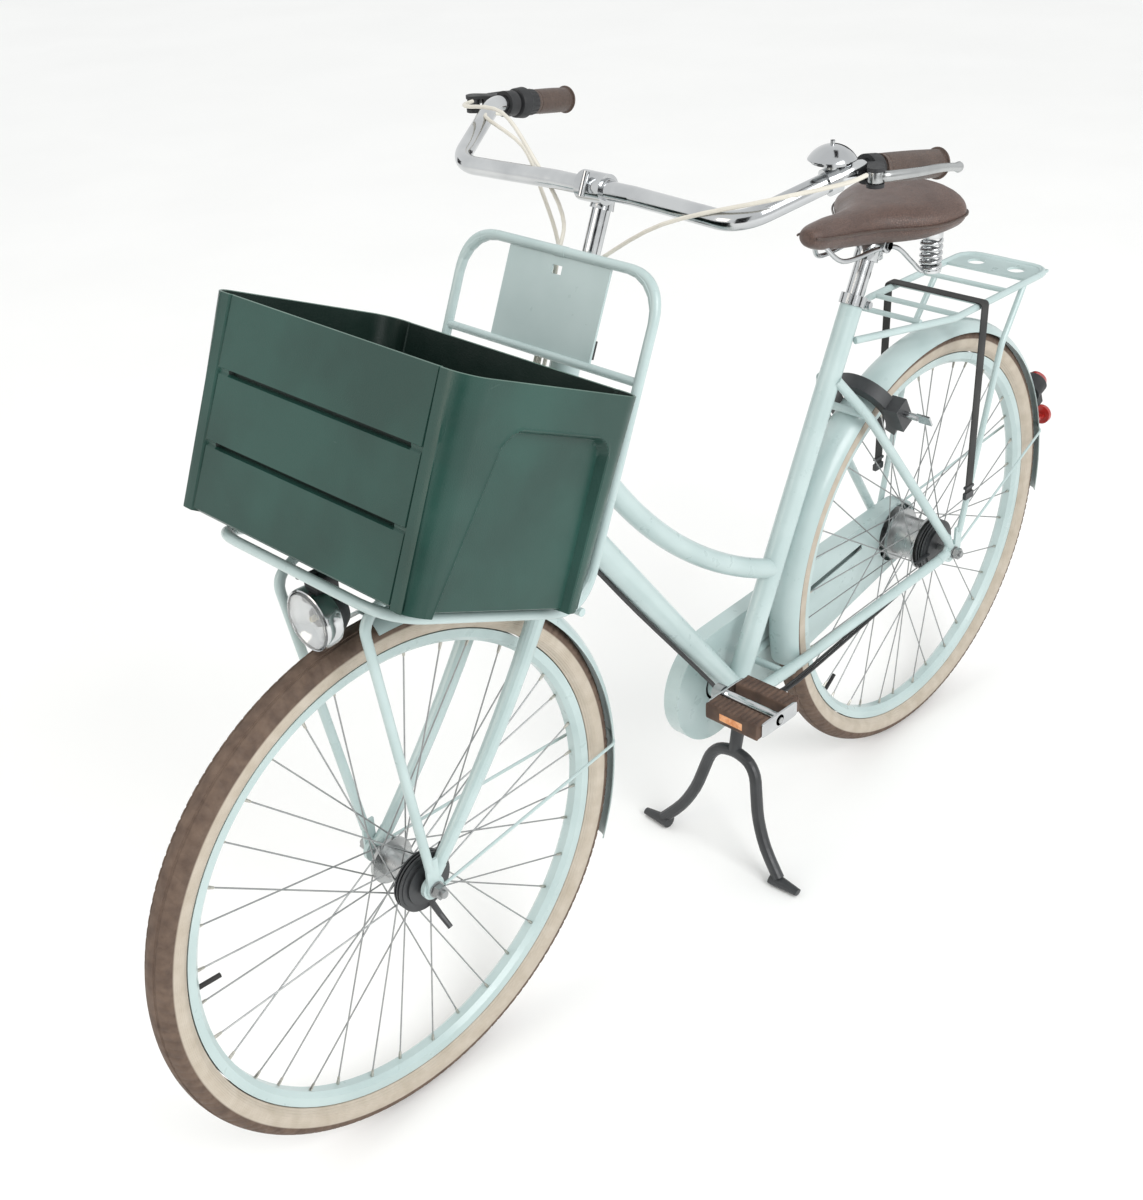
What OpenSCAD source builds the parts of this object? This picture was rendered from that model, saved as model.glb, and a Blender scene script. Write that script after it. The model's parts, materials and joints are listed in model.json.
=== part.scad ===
// City bicycle with a low step-through frame, a front carrier with a plastic crate, and a two-legged stand.
// +X points forward, +Y to the rider's left, +Z up. The origin is on the ground, at the middle of the bounding box.

/* [Wheels] */
// Outer radius of the tyres
wheel_r = 357; // [355:1:358]
// Width of the tyres
tyre_w = 47; // [44:1:48]
// Distance between the two axles
wheelbase = 1115; // [1110:1:1125]
// Inner radius of the rim
rim_in_r = 299; // [297:0.5:301]
// Spokes in each wheel
spoke_count = 36; // [36:36:36]
// Radius of a spoke
spoke_r = 1; // [0.9:0.1:1.1]

/* [Steering] */
// Angle of the steering axis from the ground
head_angle = 67; // [66.5:0.5:67.5]
// Distance from the front axle to the steering axis
fork_rake = 80; // [78:1:82]
// Height of the fork crown along the steering axis
crown_s = 398; // [396:1:400]
// Lower end of the head tube along the steering axis
head_low_s = 424; // [422:1:426]
// Upper end of the head tube along the steering axis
head_high_s = 706; // [700:1:708]
// Half of the bar's width at the grips
bar_half = 290; // [286:1:294]

/* [Frame] */
// Distance from the front axle back to the crank axle
front_centre = 645; // [643:1:647]
// Height of the crank axle
bb_z = 290; // [288:1:292]
// Angle of the seat tube from the ground
seat_angle = 64; // [63.5:0.5:64.5]
// Length of the seat tube
seat_tube_l = 590; // [585:1:595]
// Radius of the down tube
down_r = 19; // [18:0.5:20]
// Radius of the seat tube
seat_r = 16.5; // [16:0.5:17]
// Radius of the curved upper tube
upper_r = 15; // [14:0.5:16]
// Bend radius of the curved upper tube
upper_bend = 784; // [760:1:810]

/* [Crate] */
// Length of the crate at its rim, along the bicycle
crate_l = 265; // [260:1:268]
// Half of the crate's width at its rim
crate_half = 209; // [205:1:212]
// Height of the crate
crate_h = 241; // [238:1:244]
// Thickness of the crate's walls
crate_wall = 3; // [2.5:0.5:3.5]

/* [Crank] */
// Length of a crank
crank_l = 170; // [168:1:172]
// Angle of the left crank above the forward direction
crank_angle = 37; // [36:1:38]

/* [Stand] */
// Half of the distance between the stand's feet
stand_half = 122; // [118:1:126]

/* [Hidden] */

// Colours
mint = "#bfd3d0";
crate_green = "#3f5f57";
brown = "#6b554d";
cream = "#d8cbbb";
dark = "#3c3d40";
silver = "#c9c9c9";

// The front axle's X, which puts the origin at the middle of the whole length
lamp_reach = 400;
front_x = (wheelbase + lamp_reach - wheel_r) / 2;
front_axle = [front_x, 0, wheel_r];
rear_axle = [front_x - wheelbase, 0, wheel_r];
bb = [front_x - front_centre, 0, bb_z];

// Directions of the steering axis: along_n points forward from it, along_u points up it
along_n = [sin(head_angle), 0, cos(head_angle)];
along_u = [-cos(head_angle), 0, sin(head_angle)];
steer_base = front_axle - fork_rake * along_n;
// Direction of the seat tube, upwards
seat_u = [-cos(seat_angle), 0, sin(seat_angle)];
seat_n = [sin(seat_angle), 0, cos(seat_angle)];

// A point from its distance ahead of the steering axis, its Y, and its height along the axis
function steer(t, y, s) = steer_base + t * along_n + [0, y, 0] + s * along_u;
// A point measured from the ground under the front axle
function bike(x, y, z) = [front_x + x, y, z];
// A point measured along the seat tube from the crank axle
function seat(s, y = 0, n = 0) = bb + s * seat_u + [0, y, 0] + n * seat_n;
// A point on a circle round an axle, at an angle from the forward direction
function round_axle(axle, r, angle, y = 0) = axle + [r * cos(angle), y, r * sin(angle)];

function unit(v) = v / norm(v);
function mirror_y(p) = [p[0], -p[1], p[2]];
function side(p, sign) = [p[0], sign * p[1], p[2]];

// The arc that rounds the corner b of the path a, b, c with radius r in n steps
function corner(a, b, c, r, n) =
    let (u = unit(a - b), v = unit(c - b))
    let (half = acos(max(-1, min(1, u * v))) / 2)
    let (ctr = b + unit(u + v) * r / sin(half), start = b + u * r / tan(half))
    let (e = unit(start - ctr), turn = 180 - 2 * half)
    [for (i = [0:n]) ctr + r * (e * cos(turn * i / n) - u * sin(turn * i / n))];
// A path with its inner corners rounded
function bend(p, r, n = 4) = concat([p[0]],
    [for (i = [1:len(p) - 2]) each corner(p[i - 1], p[i], p[i + 1], r, n)], [p[len(p) - 1]]);
// A path of smooth curves through all its points, with n steps between each two
function smooth(p, n = 3) = concat([for (i = [0:len(p) - 2]) for (k = [0:n - 1])
    let (a = p[max(i - 1, 0)], b = p[i], c = p[i + 1], d = p[min(i + 2, len(p) - 1)], t = k / n)
    0.5 * (2 * b + (c - a) * t + (2 * a - 5 * b + 4 * c - d) * t * t + (3 * b - a - 3 * c + d) * t * t * t)],
    [p[len(p) - 1]]);

function tangent(p, i) = unit(p[min(i + 1, len(p) - 1)] - p[max(i - 1, 0)]);
// Normals carried along the path without twist
function normals(p, i, n) = i == len(p) ? [] :
    let (t = tangent(p, i), m = unit(n - (n * t) * t)) concat([m], normals(p, i + 1, m));

// A closed skin over rings of equal count, each ring running clockwise seen from ahead of the path
module skin(rings) {
    k = len(rings[0]);
    m = len(rings);
    points = [for (ring = rings) each ring];
    sides = [for (i = [0:m - 2]) for (j = [0:k - 1])
        let (a = i * k + j, b = i * k + (j + 1) % k)
        each [[a, a + k, b + k], [a, b + k, b]]];
    polyhedron(points, concat([[for (j = [0:k - 1]) j]], sides,
        [[for (j = [k - 1:-1:0]) (m - 1) * k + j]]));
}

// A tube along a path; the section is an ellipse of half-axes ra (towards up) and rb
module tube(p, r0, r1 = undef, sides = 12, up = [0.1, 0.2, 1], flat = 1) {
    r2 = is_undef(r1) ? r0 : r1;
    n = normals(p, 0, up);
    skin([for (i = [0:len(p) - 1])
        let (t = tangent(p, i), b = cross(t, n[i]), r = r0 + (r2 - r0) * i / (len(p) - 1))
        [for (k = [0:sides - 1]) p[i] + r * (n[i] * cos(360 * k / sides) + flat * b * sin(360 * k / sides))]]);
}

// A straight round bar between two points
module rod(p, q, r, r_end = undef) {
    d = q - p;
    translate(p)
        rotate([0, acos(d[2] / norm(d)), atan2(d[1], d[0])])
            cylinder(h = norm(d), r1 = r, r2 = is_undef(r_end) ? r : r_end, $fn = 48);
}

// A round bar along Y, from y0 to y1, at a point
module y_bar(p, y0, y1, r, fn = 48) {
    translate([p[0], y1, p[2]])
        rotate([90, 0, 0])
            cylinder(h = y1 - y0, r = r, $fn = fn);
}

// A ring round the Y axis through an axle, from a profile drawn as [radius, y]
module y_ring(axle) {
    translate(axle)
        rotate([90, 0, 0])
            rotate_extrude($fn = 128)
                mirror([0, 1])
                    children();
}

// Part of a ring round the Y axis, from one angle to another, measured up from the forward direction
module y_arc(centre, from, to) {
    translate(centre)
        rotate([90, 0, 0])
            rotate([0, 0, from])
                rotate_extrude(angle = to - from, $fn = 180)
                    children();
}

// The frame of the steering axis: X ahead of the axis, Z up it
module on_steering() {
    translate(steer_base)
        rotate([0, head_angle - 90, 0])
            children();
}

// The frame of the seat tube: X ahead of it, Z up it
module on_seat_tube() {
    translate(bb)
        rotate([0, seat_angle - 90, 0])
            children();
}

// ---- Frame ----
dropout_y = 70;
steerer_bore = 15;
seat_bore = 13.65;
bb_half = 34;
seat_stay_top = 482;
down_s = 492;
upper_s = 596;
upper_seat_s = 194;

// The curved tube is one arc between a point on the seat tube and a point on the head tube
upper_a = seat(upper_seat_s);
upper_b = steer(0, 0, upper_s);
upper_mid = (upper_a + upper_b) / 2;
upper_dir = unit(upper_b - upper_a);
upper_half = norm(upper_b - upper_a) / 2;
upper_centre = upper_mid + sqrt(upper_bend * upper_bend - upper_half * upper_half) * [-upper_dir[2], 0, upper_dir[0]];
function polar_angle(p, c) = atan2(p[2] - c[2], p[0] - c[0]);

module chain_stay(sign) {
    path = [bb + [-8, sign * 26, 0], bb + [-95, sign * 35.5, 10], rear_axle + [30, sign * dropout_y, -4]];
    tube(bend(path, 90), 9.5, 8, sides = 16);
}

module seat_stay(sign) {
    path = [seat(seat_stay_top, sign * 14), seat(seat_stay_top, sign * 45) + [-42, 0, -64],
        rear_axle + [10, sign * dropout_y, 22]];
    tube(bend(path, 90), 7.5, sides = 16);
}

module dropout(sign) {
    p = rear_axle + [0, sign * dropout_y, 0];
    y_bar(p, p[1] - 2.5, p[1] + 2.5, 19);
    rod(p + [8, 0, 0], p + [34, 0, -4], 8);
    rod(p + [2, 0, 6], p + [14, 0, 30], 7.5);
}

module frame() color(mint) {
    difference() {
        union() {
            rod(steer(0, 0, head_low_s), steer(0, 0, head_high_s), 18.5);
            rod(bb, steer(0, 0, down_s), down_r);
            rod(bb, seat(seat_tube_l), seat_r);
            y_bar(bb, -bb_half, bb_half, 22);
            y_arc(upper_centre, polar_angle(upper_a, upper_centre), polar_angle(upper_b, upper_centre))
                translate([upper_bend, 0])
                    circle(r = upper_r, $fn = 48);
            for (sign = [-1, 1]) {
                chain_stay(sign);
                seat_stay(sign);
                dropout(sign);
            }
            y_bar(bb + [-78, 0, 9], -33, 33, 6);
            y_bar(seat(seat_stay_top) + [-42, 0, -61], -44, 44, 6);
        }
        rod(steer(0, 0, head_low_s - 1), steer(0, 0, head_high_s + 1), steerer_bore);
        rod(seat(seat_tube_l - 290), seat(seat_tube_l + 1), seat_bore);
        y_bar(bb, -bb_half - 6, bb_half + 6, 17.5);
        y_bar(rear_axle, -90, 90, 5.05);
    }
}

module bottom_bracket() color(silver) {
    for (sign = [-1, 1])
        difference() {
            y_bar(bb, sign > 0 ? 16 : -bb_half - 4, sign > 0 ? bb_half + 4 : -16, 17.4);
            y_bar(bb, -60, 60, 8.55);
        }
}

module headset() color(silver) {
    on_steering() {
        difference() {
            union() {
                translate([0, 0, head_low_s - 9])
                    cylinder(h = 9, r1 = 20, r2 = 18.5, $fn = 64);
                translate([0, 0, head_low_s])
                    cylinder(h = 12, r = 14.9, $fn = 64);
            }
            cylinder(h = 900, r = 12.85, $fn = 64);
        }
        difference() {
            union() {
                translate([0, 0, head_high_s])
                    cylinder(h = 9, r1 = 18.5, r2 = 20, $fn = 64);
                translate([0, 0, head_high_s - 12])
                    cylinder(h = 12, r = 14.9, $fn = 64);
            }
            cylinder(h = 900, r = 12.85, $fn = 64);
        }
    }
}

module seat_clamp() color(silver) {
    on_seat_tube() {
        difference() {
            union() {
                translate([0, 0, seat_tube_l + 0.2])
                    cylinder(h = 15, r = 19.5, $fn = 64);
                translate([-34, -9, seat_tube_l + 1.2])
                    cube([20, 18, 13]);
            }
            translate([0, 0, seat_tube_l])
                cylinder(h = 20, r = seat_bore + 0.1, $fn = 64);
            translate([-40, -1.2, seat_tube_l])
                cube([30, 2.4, 20]);
        }
        translate([-26, 15, seat_tube_l + 7.5])
            rotate([90, 0, 0])
                cylinder(h = 30, r = 3, $fn = 32);
        translate([-26, 15, seat_tube_l + 7.5])
            rotate([90, 0, 0])
                cylinder(h = 5, r = 5.5, $fn = 6);
    }
}

// ---- Chain drive ----
ring_pitch_r = 76;
sprocket_pitch_r = 38;
chain_y = -47;
chain_w = 7;
case_front_r = 92;
case_rear_r = 56;
case_half_w = 13;
stay_hole_r = 10.6;

// The outline round the two sprockets, with a radius at each: two arcs joined by straight runs
module drive_outline(r_front, r_rear) {
    d = [rear_axle[0] - bb[0], rear_axle[2] - bb[2]];
    dir = atan2(d[1], d[0]);
    spread = acos((r_front - r_rear) / norm(d));
    steps = 36;
    front_arc = [for (i = [0:steps]) let (a = dir + spread + (360 - 2 * spread) * i / steps) r_front * [cos(a), sin(a)]];
    rear_arc = [for (i = [0:steps]) let (a = dir - spread + 2 * spread * i / steps) d + r_rear * [cos(a), sin(a)]];
    polygon(concat(front_arc, rear_arc));
}

module drive_slab(y0, y1) {
    translate([bb[0], y1, bb[2]])
        rotate([90, 0, 0])
            linear_extrude(y1 - y0)
                children();
}

module chain_case() color(mint) {
    lip = 2;
    difference() {
        drive_slab(chain_y - case_half_w, chain_y + case_half_w)
            drive_outline(case_front_r, case_rear_r);
        drive_slab(chain_y - case_half_w + lip, chain_y + case_half_w - lip)
            drive_outline(case_front_r - lip, case_rear_r - lip);
        // Round holes for the crank axle and for the hub
        y_bar(bb, chain_y - 30, chain_y, 30);
        y_bar(bb, chain_y, chain_y + 30, 26);
        y_bar(rear_axle, chain_y - 30, chain_y, 24);
        y_bar(rear_axle, chain_y, chain_y + 30, 50);
        // The right chain stay enters through the inner wall and leaves through the outer one
        rod(bb + [-8, -26, 0], bb + [-97, -35.7, 10.2], stay_hole_r);
        rod(bb + [-92, -35.2, 9.7], rear_axle + [16, -dropout_y, -4], stay_hole_r);
        // A slot on the wheel's side, above the upper run of the chain
        translate([bb[0] - 300, chain_y + case_half_w - 4, bb[2] + 78])
            rotate([0, 8.1, 0])
                translate([-70, 0, -12])
                    cube([150, 8, 10]);
    }
}

module chain() color("#77736c") {
    plate = 4.2;
    for (y = [chain_y - chain_w / 2, chain_y + chain_w / 2 - 1.4])
        drive_slab(y, y + 1.4)
            difference() {
                drive_outline(ring_pitch_r + plate, sprocket_pitch_r + plate);
                drive_outline(ring_pitch_r - plate, sprocket_pitch_r - plate);
            }
}

module chainring() color("#8f8f8f") {
    teeth = 38;
    y_c = chain_y;
    difference() {
        union() {
            y_bar(bb, y_c - 1.5, y_c + 1.5, ring_pitch_r - 3);
            for (i = [0:teeth - 1])
                translate(bb + [0, y_c + 1.5, 0])
                    rotate([90, 360 / teeth * i, 0])
                        translate([ring_pitch_r - 4, 0, 0])
                            cylinder(h = 3, r = 3.4, $fn = 3);
        }
        y_bar(bb, y_c - 10, y_c + 10, 13);
        for (i = [0:4])
            y_bar(round_axle(bb, 45, 72 * i + 36), y_c - 10, y_c + 10, 17);
    }
}

crank_u = [cos(crank_angle), 0, sin(crank_angle)];
left_pedal_c = bb + crank_l * crank_u;
right_pedal_c = bb - crank_l * crank_u;

module crankset() color(silver) {
    difference() {
        y_bar(bb, -79, 79, 8.5);
        y_bar(bb, 70, 80, 4);
        y_bar(bb, -80, -70, 4);
    }
    for (sign = [-1, 1]) {
        hub = bb + [0, sign * 72, 0];
        tip = bb + sign * crank_l * crank_u + [0, sign * 84, 0];
        difference() {
            union() {
                y_bar(hub, hub[1] - 9, hub[1] + 9, 16);
                rod(hub, tip, 9.5, 7.5);
                y_bar(tip, tip[1] - 7, tip[1] + 7, 12);
            }
            y_bar(bb, -77, 77, 8.5);
        }
        y_bar(tip, sign > 0 ? tip[1] + 7 : tip[1] - 105, sign > 0 ? tip[1] + 105 : tip[1] - 7, 4.5);
    }
    y_bar(bb, -62.9, -40, 13);
}

pedal_in_y = 93;
pedal_l = 94;

// One pedal: a sleeve on its spindle, two cage plates and two rubber blocks
module pedal(centre, sign) {
    cage_t = 3;
    y0 = sign > 0 ? pedal_in_y : -pedal_in_y - pedal_l;
    translate([centre[0], y0, centre[2]])
        difference() {
            union() {
                translate([0, pedal_l, 0])
                    rotate([90, 0, 0])
                        cylinder(h = pedal_l, r = 9, $fn = 48);
                for (y = [0, pedal_l - cage_t])
                    translate([-38, y, -12])
                        cube([76, cage_t, 24]);
                for (x = [-47, 17])
                    translate([x, cage_t, -13])
                        cube([30, pedal_l - 2 * cage_t, 26]);
            }
            translate([0, pedal_l + 1, 0])
                rotate([90, 0, 0])
                    cylinder(h = pedal_l + 2, r = 4.55, $fn = 48);
        }
}

module left_pedal() color(brown) pedal(left_pedal_c, 1);
module right_pedal() color(brown) pedal(right_pedal_c, -1);

// The sprocket on its driver, which turns on the rear axle
module rear_sprocket() color("#8f8f8f") {
    difference() {
        union() {
            y_bar(rear_axle, chain_y - 1.5, chain_y + 1.5, sprocket_pitch_r - 4.6);
            y_bar(rear_axle, chain_y - 4, -rear_hub_half - 0.3, 17);
        }
        y_bar(rear_axle, chain_y - 10, chain_y + 30, 5.05);
    }
}

// ---- Wheels ----
rim_out_r = 316;
rim_half = 13;
tyre_c = wheel_r - tyre_w / 2;

// The tyre: an open C section that grips the rim's edges
module tyre(axle) color(brown) {
    y_ring(axle)
        difference() {
            translate([tyre_c, 0])
                circle(r = tyre_w / 2, $fn = 96);
            translate([tyre_c, 0])
                circle(r = tyre_w / 2 - 3.5, $fn = 96);
            translate([tyre_c - 40, -rim_half - 0.2])
                square([40 - 9, 2 * rim_half + 0.4]);
        }
}

// The inner tube, with its valve
module inner_tube(axle, valve_angle) color("#4a4a4a") {
    difference() {
        y_ring(axle)
            translate([tyre_c, 0])
                circle(r = tyre_w / 2 - 4, $fn = 96);
        y_ring(axle)
            translate([tyre_c - 60, -40])
                square([60 - 15.5, 80]);
    }
    rod(round_axle(axle, 319, valve_angle), round_axle(axle, 268, valve_angle), 3);
}

// The rim: a double-walled channel, with a hole for the valve
module rim(axle, valve_angle) color(mint) {
    difference() {
        y_ring(axle)
            polygon([[rim_in_r, -6], [rim_in_r, 6], [rim_in_r + 6, 12], [rim_out_r, rim_half],
                [rim_out_r, rim_half - 1.6], [rim_in_r + 9, rim_half - 2], [rim_in_r + 9, -rim_half + 2],
                [rim_out_r, -rim_half + 1.6], [rim_out_r, -rim_half], [rim_in_r + 6, -12]]);
        rod(round_axle(axle, 290, valve_angle), round_axle(axle, 318, valve_angle), 3.3);
    }
}

// One wheel's spokes: nine pairs to each flange, laced to cross three times
module spokes(axle, flange_r, flange_y, rim_phase) color(silver) {
    per_side = spoke_count / 2;
    step = 360 / spoke_count;
    for (sign = [-1, 1])
        for (i = [0:per_side - 1]) {
            lead = i % 2 == 0 ? 1 : -1;
            rim_a = rim_phase + (2 * i + (sign > 0 ? 0 : 1)) * step;
            hub_a = rim_a + lead * 5.5 * step;
            rod(round_axle(axle, flange_r, hub_a, sign * (flange_y + lead * 1.6)),
                round_axle(axle, rim_in_r, rim_a, sign * 3), spoke_r);
        }
}

// The hub shell between two flanges, with a bore for the axle
module hub_shell(axle, barrel_r, flange_r, flange_y, half_l, bore_r) {
    difference() {
        union() {
            y_bar(axle, -half_l, half_l, barrel_r);
            for (sign = [-1, 1])
                y_bar(axle, sign * flange_y - 2.4, sign * flange_y + 2.4, flange_r);
        }
        y_bar(axle, -half_l - 1, half_l + 1, bore_r);
    }
}

front_valve_a = 3;
rear_valve_a = -38;
front_phase = 8;
rear_phase = 5;
front_flange_y = 22;
rear_flange_y = 25;
rear_hub_half = 30;

module front_tyre() tyre(front_axle);
module rear_tyre() tyre(rear_axle);
module front_tube() inner_tube(front_axle, front_valve_a);
module rear_tube() inner_tube(rear_axle, rear_valve_a);
module front_rim() rim(front_axle, front_valve_a);
module rear_rim() rim(rear_axle, rear_valve_a);
module front_spokes() spokes(front_axle, 29, front_flange_y, front_phase);
module rear_spokes() spokes(rear_axle, 42, rear_flange_y, rear_phase);
module front_hub() color(silver) hub_shell(front_axle, 20, 31, front_flange_y, 27, 5.05);
module rear_hub() color(silver) hub_shell(rear_axle, 34, 44.5, rear_flange_y, rear_hub_half, 5.05);

// An axle with a nut and a washer at each end
module wheel_axle(axle, half_l, nut_y) {
    y_bar(axle, -half_l, half_l, 5);
    for (sign = [-1, 1]) {
        y_bar(axle + [0, sign * (nut_y + 1), 0], sign * (nut_y + 1) - 1, sign * (nut_y + 1) + 1, 10.5);
        translate(axle + [0, sign * (nut_y + 7), 0])
            rotate([90, 0, 0])
                cylinder(h = 9, r = 9.5, center = true, $fn = 6);
    }
}

module front_axle_set() color(silver) wheel_axle(front_axle, 78, 61.5);
module rear_axle_set() color(silver) wheel_axle(rear_axle, 92, dropout_y + 7);

// A roller brake: a finned drum beside the hub, and an arm to the frame or fork
module roller_brake(axle, y0, r, arm_to) {
    difference() {
        union() {
            y_bar(axle, y0, y0 + 14, r);
            y_bar(axle, y0 + 14, y0 + 17, r * 0.8);
            for (i = [0:2])
                y_bar(axle, y0 + 2 + 4.5 * i, y0 + 4 + 4.5 * i, r + 4);
        }
        y_bar(axle, y0 - 1, y0 + 30, 5.05);
    }
    tube([axle + [0, y0 + 15, 0] + unit(arm_to) * r * 0.7, axle + [0, y0 + 15, 0] + arm_to], 5, 4, sides = 8, flat = 0.5,
        up = [0, 1, 0.1]);
}

module front_brake() color(dark) {
    roller_brake(front_axle, 28, 36, [-30, 0, 44]);
    // The cable's lever, below the drum
    tube([front_axle + [-4, 40, -30], front_axle + [-10, 50, -52], front_axle + [-12, 66, -66]], 4.5, 3.5, sides = 8);
}

module rear_brake() color(dark) {
    roller_brake(rear_axle, 31, 40, [62, 0, -6]);
}

// ---- Fenders ----
fender_r = 369;
fender_half = 28;
fender_t = 1.6;

module fender_profile() {
    curve_r = 31;
    difference() {
        translate([fender_r - curve_r, 0])
            circle(r = curve_r, $fn = 96);
        translate([fender_r - curve_r, 0])
            circle(r = curve_r - fender_t, $fn = 96);
        translate([fender_r - 100, -50])
            square([100 - 18, 100]);
    }
}

module front_fender() color(mint) {
    y_arc(front_axle, 88, 203)
        fender_profile();
}

module rear_fender() color(mint) {
    y_arc(rear_axle, -11, 186)
        fender_profile();
}

// A thin rod from the axle out to the fender's edge and over it
module fender_stay(axle, foot, angle) {
    crown = round_axle(axle, fender_r + 2.6, angle);
    left = round_axle(axle, fender_r - 19, angle, 31);
    path = concat([axle + foot], [left], [crown], [mirror_y(left)], [mirror_y(axle + foot)]);
    tube(bend(path, 14, 3), 2.2, sides = 8);
}

module front_fender_stays() color(mint) {
    fender_stay(front_axle, [-15, 60, -2], 178);
}

module rear_fender_stays() color(mint) {
    fender_stay(rear_axle, [-17, dropout_y + 5, 8], 166);
}

// ---- Fork and handlebar ----
blade_y = 49;
function blade(sign) = [for (i = [0:10])
    let (k = i / 10)
    steer((fork_rake - 4) * pow(k, 1.7), sign * blade_y, crown_s - (crown_s - 18) * k)];

module fork() color(mint) {
    difference() {
        union() {
            rod(steer(0, 0, crown_s - 8), steer(0, 0, 732), 12.75);
            rod(steer(0, 0, crown_s - 12), steer(0, 0, crown_s + 15), 19, 17);
            rod(steer(0, -blade_y, crown_s), steer(0, blade_y, crown_s), 15);
            for (sign = [-1, 1]) {
                tube(blade(sign), 12.5, 8.5, sides = 16);
                y_bar(front_axle, sign * 54.5 - 3, sign * 54.5 + 3, 16);
                rod(front_axle + [-3, sign * 51, 8], steer(fork_rake - 8, sign * 50, 30), 8.6);
            }
        }
        rod(steer(0, 0, 560), steer(0, 0, 740), 11.15);
        y_bar(front_axle, -90, 90, 5.05);
    }
}

stem_top_s = 842;
stem_t = 18;

module stem() color(silver) {
    difference() {
        union() {
            rod(steer(0, 0, 600), steer(0, 0, stem_top_s), 11.1);
            rod(steer(0, 0, 735.3), steer(0, 0, 752), 17, 15.5);
            rod(steer(0, 0, stem_top_s - 22), steer(0, 0, stem_top_s + 6), 14.5, 12);
            rod(steer(stem_t, -19, stem_top_s), steer(stem_t, 19, stem_top_s), 17.5);
        }
        rod(steer(stem_t, -30, stem_top_s), steer(stem_t, 30, stem_top_s), 12.75);
    }
    rod(steer(stem_t + 21, 0, stem_top_s - 14), steer(stem_t + 21, 0, stem_top_s + 14), 4);
}

bar_r = 11;
bar_clamp = steer(stem_t, 0, stem_top_s);
bar_bend = bike(-372, 219, 1106);
bar_rise = bike(-490, bar_half - 13, 1146);
bar_end = bike(-634, bar_half, 1124);
function half_bar(sign) = bend([side(bar_clamp + [0, 22, 0], sign), side(bar_clamp + [2, 60, 0], sign),
    side(bar_bend, sign), side(bar_rise, sign), side(bar_end, sign)], 48, 6);

module handlebar() color(silver) {
    for (sign = [-1, 1])
        tube(half_bar(sign), bar_r, sides = 20);
    rod(bar_clamp - [0, 22.5, 0], bar_clamp + [0, 22.5, 0], 12.7);
}

grip_u = unit(bar_end - bar_rise);
function on_bar(sign, d) = side(bar_end - d * grip_u, sign);

// Along the bar from its end: the grips, the shifter on the right, and the lever clamps
left_grip_l = 104;
right_grip_l = 70;
shifter_l = 34;
clamp_d = 109;
clamp_l = 17;

module grips() color(brown) {
    for (sign = [-1, 1])
        difference() {
            union() {
                rod(on_bar(sign, sign > 0 ? left_grip_l : right_grip_l), on_bar(sign, 0), 16);
                rod(on_bar(sign, 1), on_bar(sign, -5), 18, 15);
            }
            rod(on_bar(sign, 140), on_bar(sign, 0), bar_r + 0.3);
        }
}

// The brake levers turn on upright pins, ahead of the grips and outboard of the bar
function lever_pivot(sign) = on_bar(sign, 124) + [26, sign * 30, 2];
lever_hub_half = 6;
lever_pin_r = 3;

module lever_clamps() color(dark) {
    for (sign = [-1, 1]) {
        p = lever_pivot(sign);
        body_h = 21;
        difference() {
            union() {
                rod(on_bar(sign, clamp_d + clamp_l), on_bar(sign, clamp_d), 16);
                hull() {
                    translate(p - [0, 0, body_h / 2])
                        cylinder(h = body_h, r = 9.5, $fn = 32);
                    translate(on_bar(sign, clamp_d + clamp_l / 2) + [2, sign * 8, -body_h / 2])
                        cylinder(h = body_h, r = 8, $fn = 32);
                }
            }
            rod(on_bar(sign, 170), on_bar(sign, 90), bar_r + 0.3);
            rod(p - [0, 0, lever_hub_half + 0.4], p + [0, 0, lever_hub_half + 0.4], 15);
        }
        rod(p - [0, 0, body_h / 2], p + [0, 0, body_h / 2], lever_pin_r);
    }
}

module brake_lever(sign) {
    p = lever_pivot(sign);
    difference() {
        union() {
            rod(p - [0, 0, lever_hub_half], p + [0, 0, lever_hub_half], 8);
            tube(smooth([p + [-5, sign * 4, 0], p + [-12, sign * 10, 0], p + [-50, sign * 19, -3],
                p + [-95, sign * 21, -8], p + [-132, sign * 22, -15]], 4), 5.5, 4.5, sides = 12, flat = 0.8);
        }
        rod(p - [0, 0, 12], p + [0, 0, 12], lever_pin_r + 0.05);
    }
}

module left_brake_lever() color(silver) brake_lever(1);
module right_brake_lever() color(dark) brake_lever(-1);

module twist_shifter() color(dark) {
    d0 = right_grip_l + 0.5;
    difference() {
        union() {
            rod(on_bar(-1, d0 + shifter_l), on_bar(-1, d0 + 16), 20, 18);
            rod(on_bar(-1, d0 + 18), on_bar(-1, d0), 17);
        }
        rod(on_bar(-1, 140), on_bar(-1, 60), bar_r + 0.05);
    }
}

// The bell sits on the rising part of the bar, just inboard of the left brake lever
rise_u = unit(bar_rise - bar_bend);
bell_c = bar_rise - 26 * rise_u;
bell_r = 26;

module bell_base() color(silver) {
    difference() {
        union() {
            rod(bell_c - 7 * rise_u, bell_c + 7 * rise_u, 15);
            translate(bell_c + [0, 0, 10])
                cylinder(h = 11, r = 8, $fn = 48);
            translate(bell_c + [0, 0, 19])
                cylinder(h = 3, r = bell_r - 4, $fn = 64);
            translate(bell_c + [0, 0, 20])
                cylinder(h = 22, r = 2.5, $fn = 32);
        }
        rod(bell_c - 20 * rise_u, bell_c + 20 * rise_u, bar_r + 0.05);
    }
}

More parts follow.
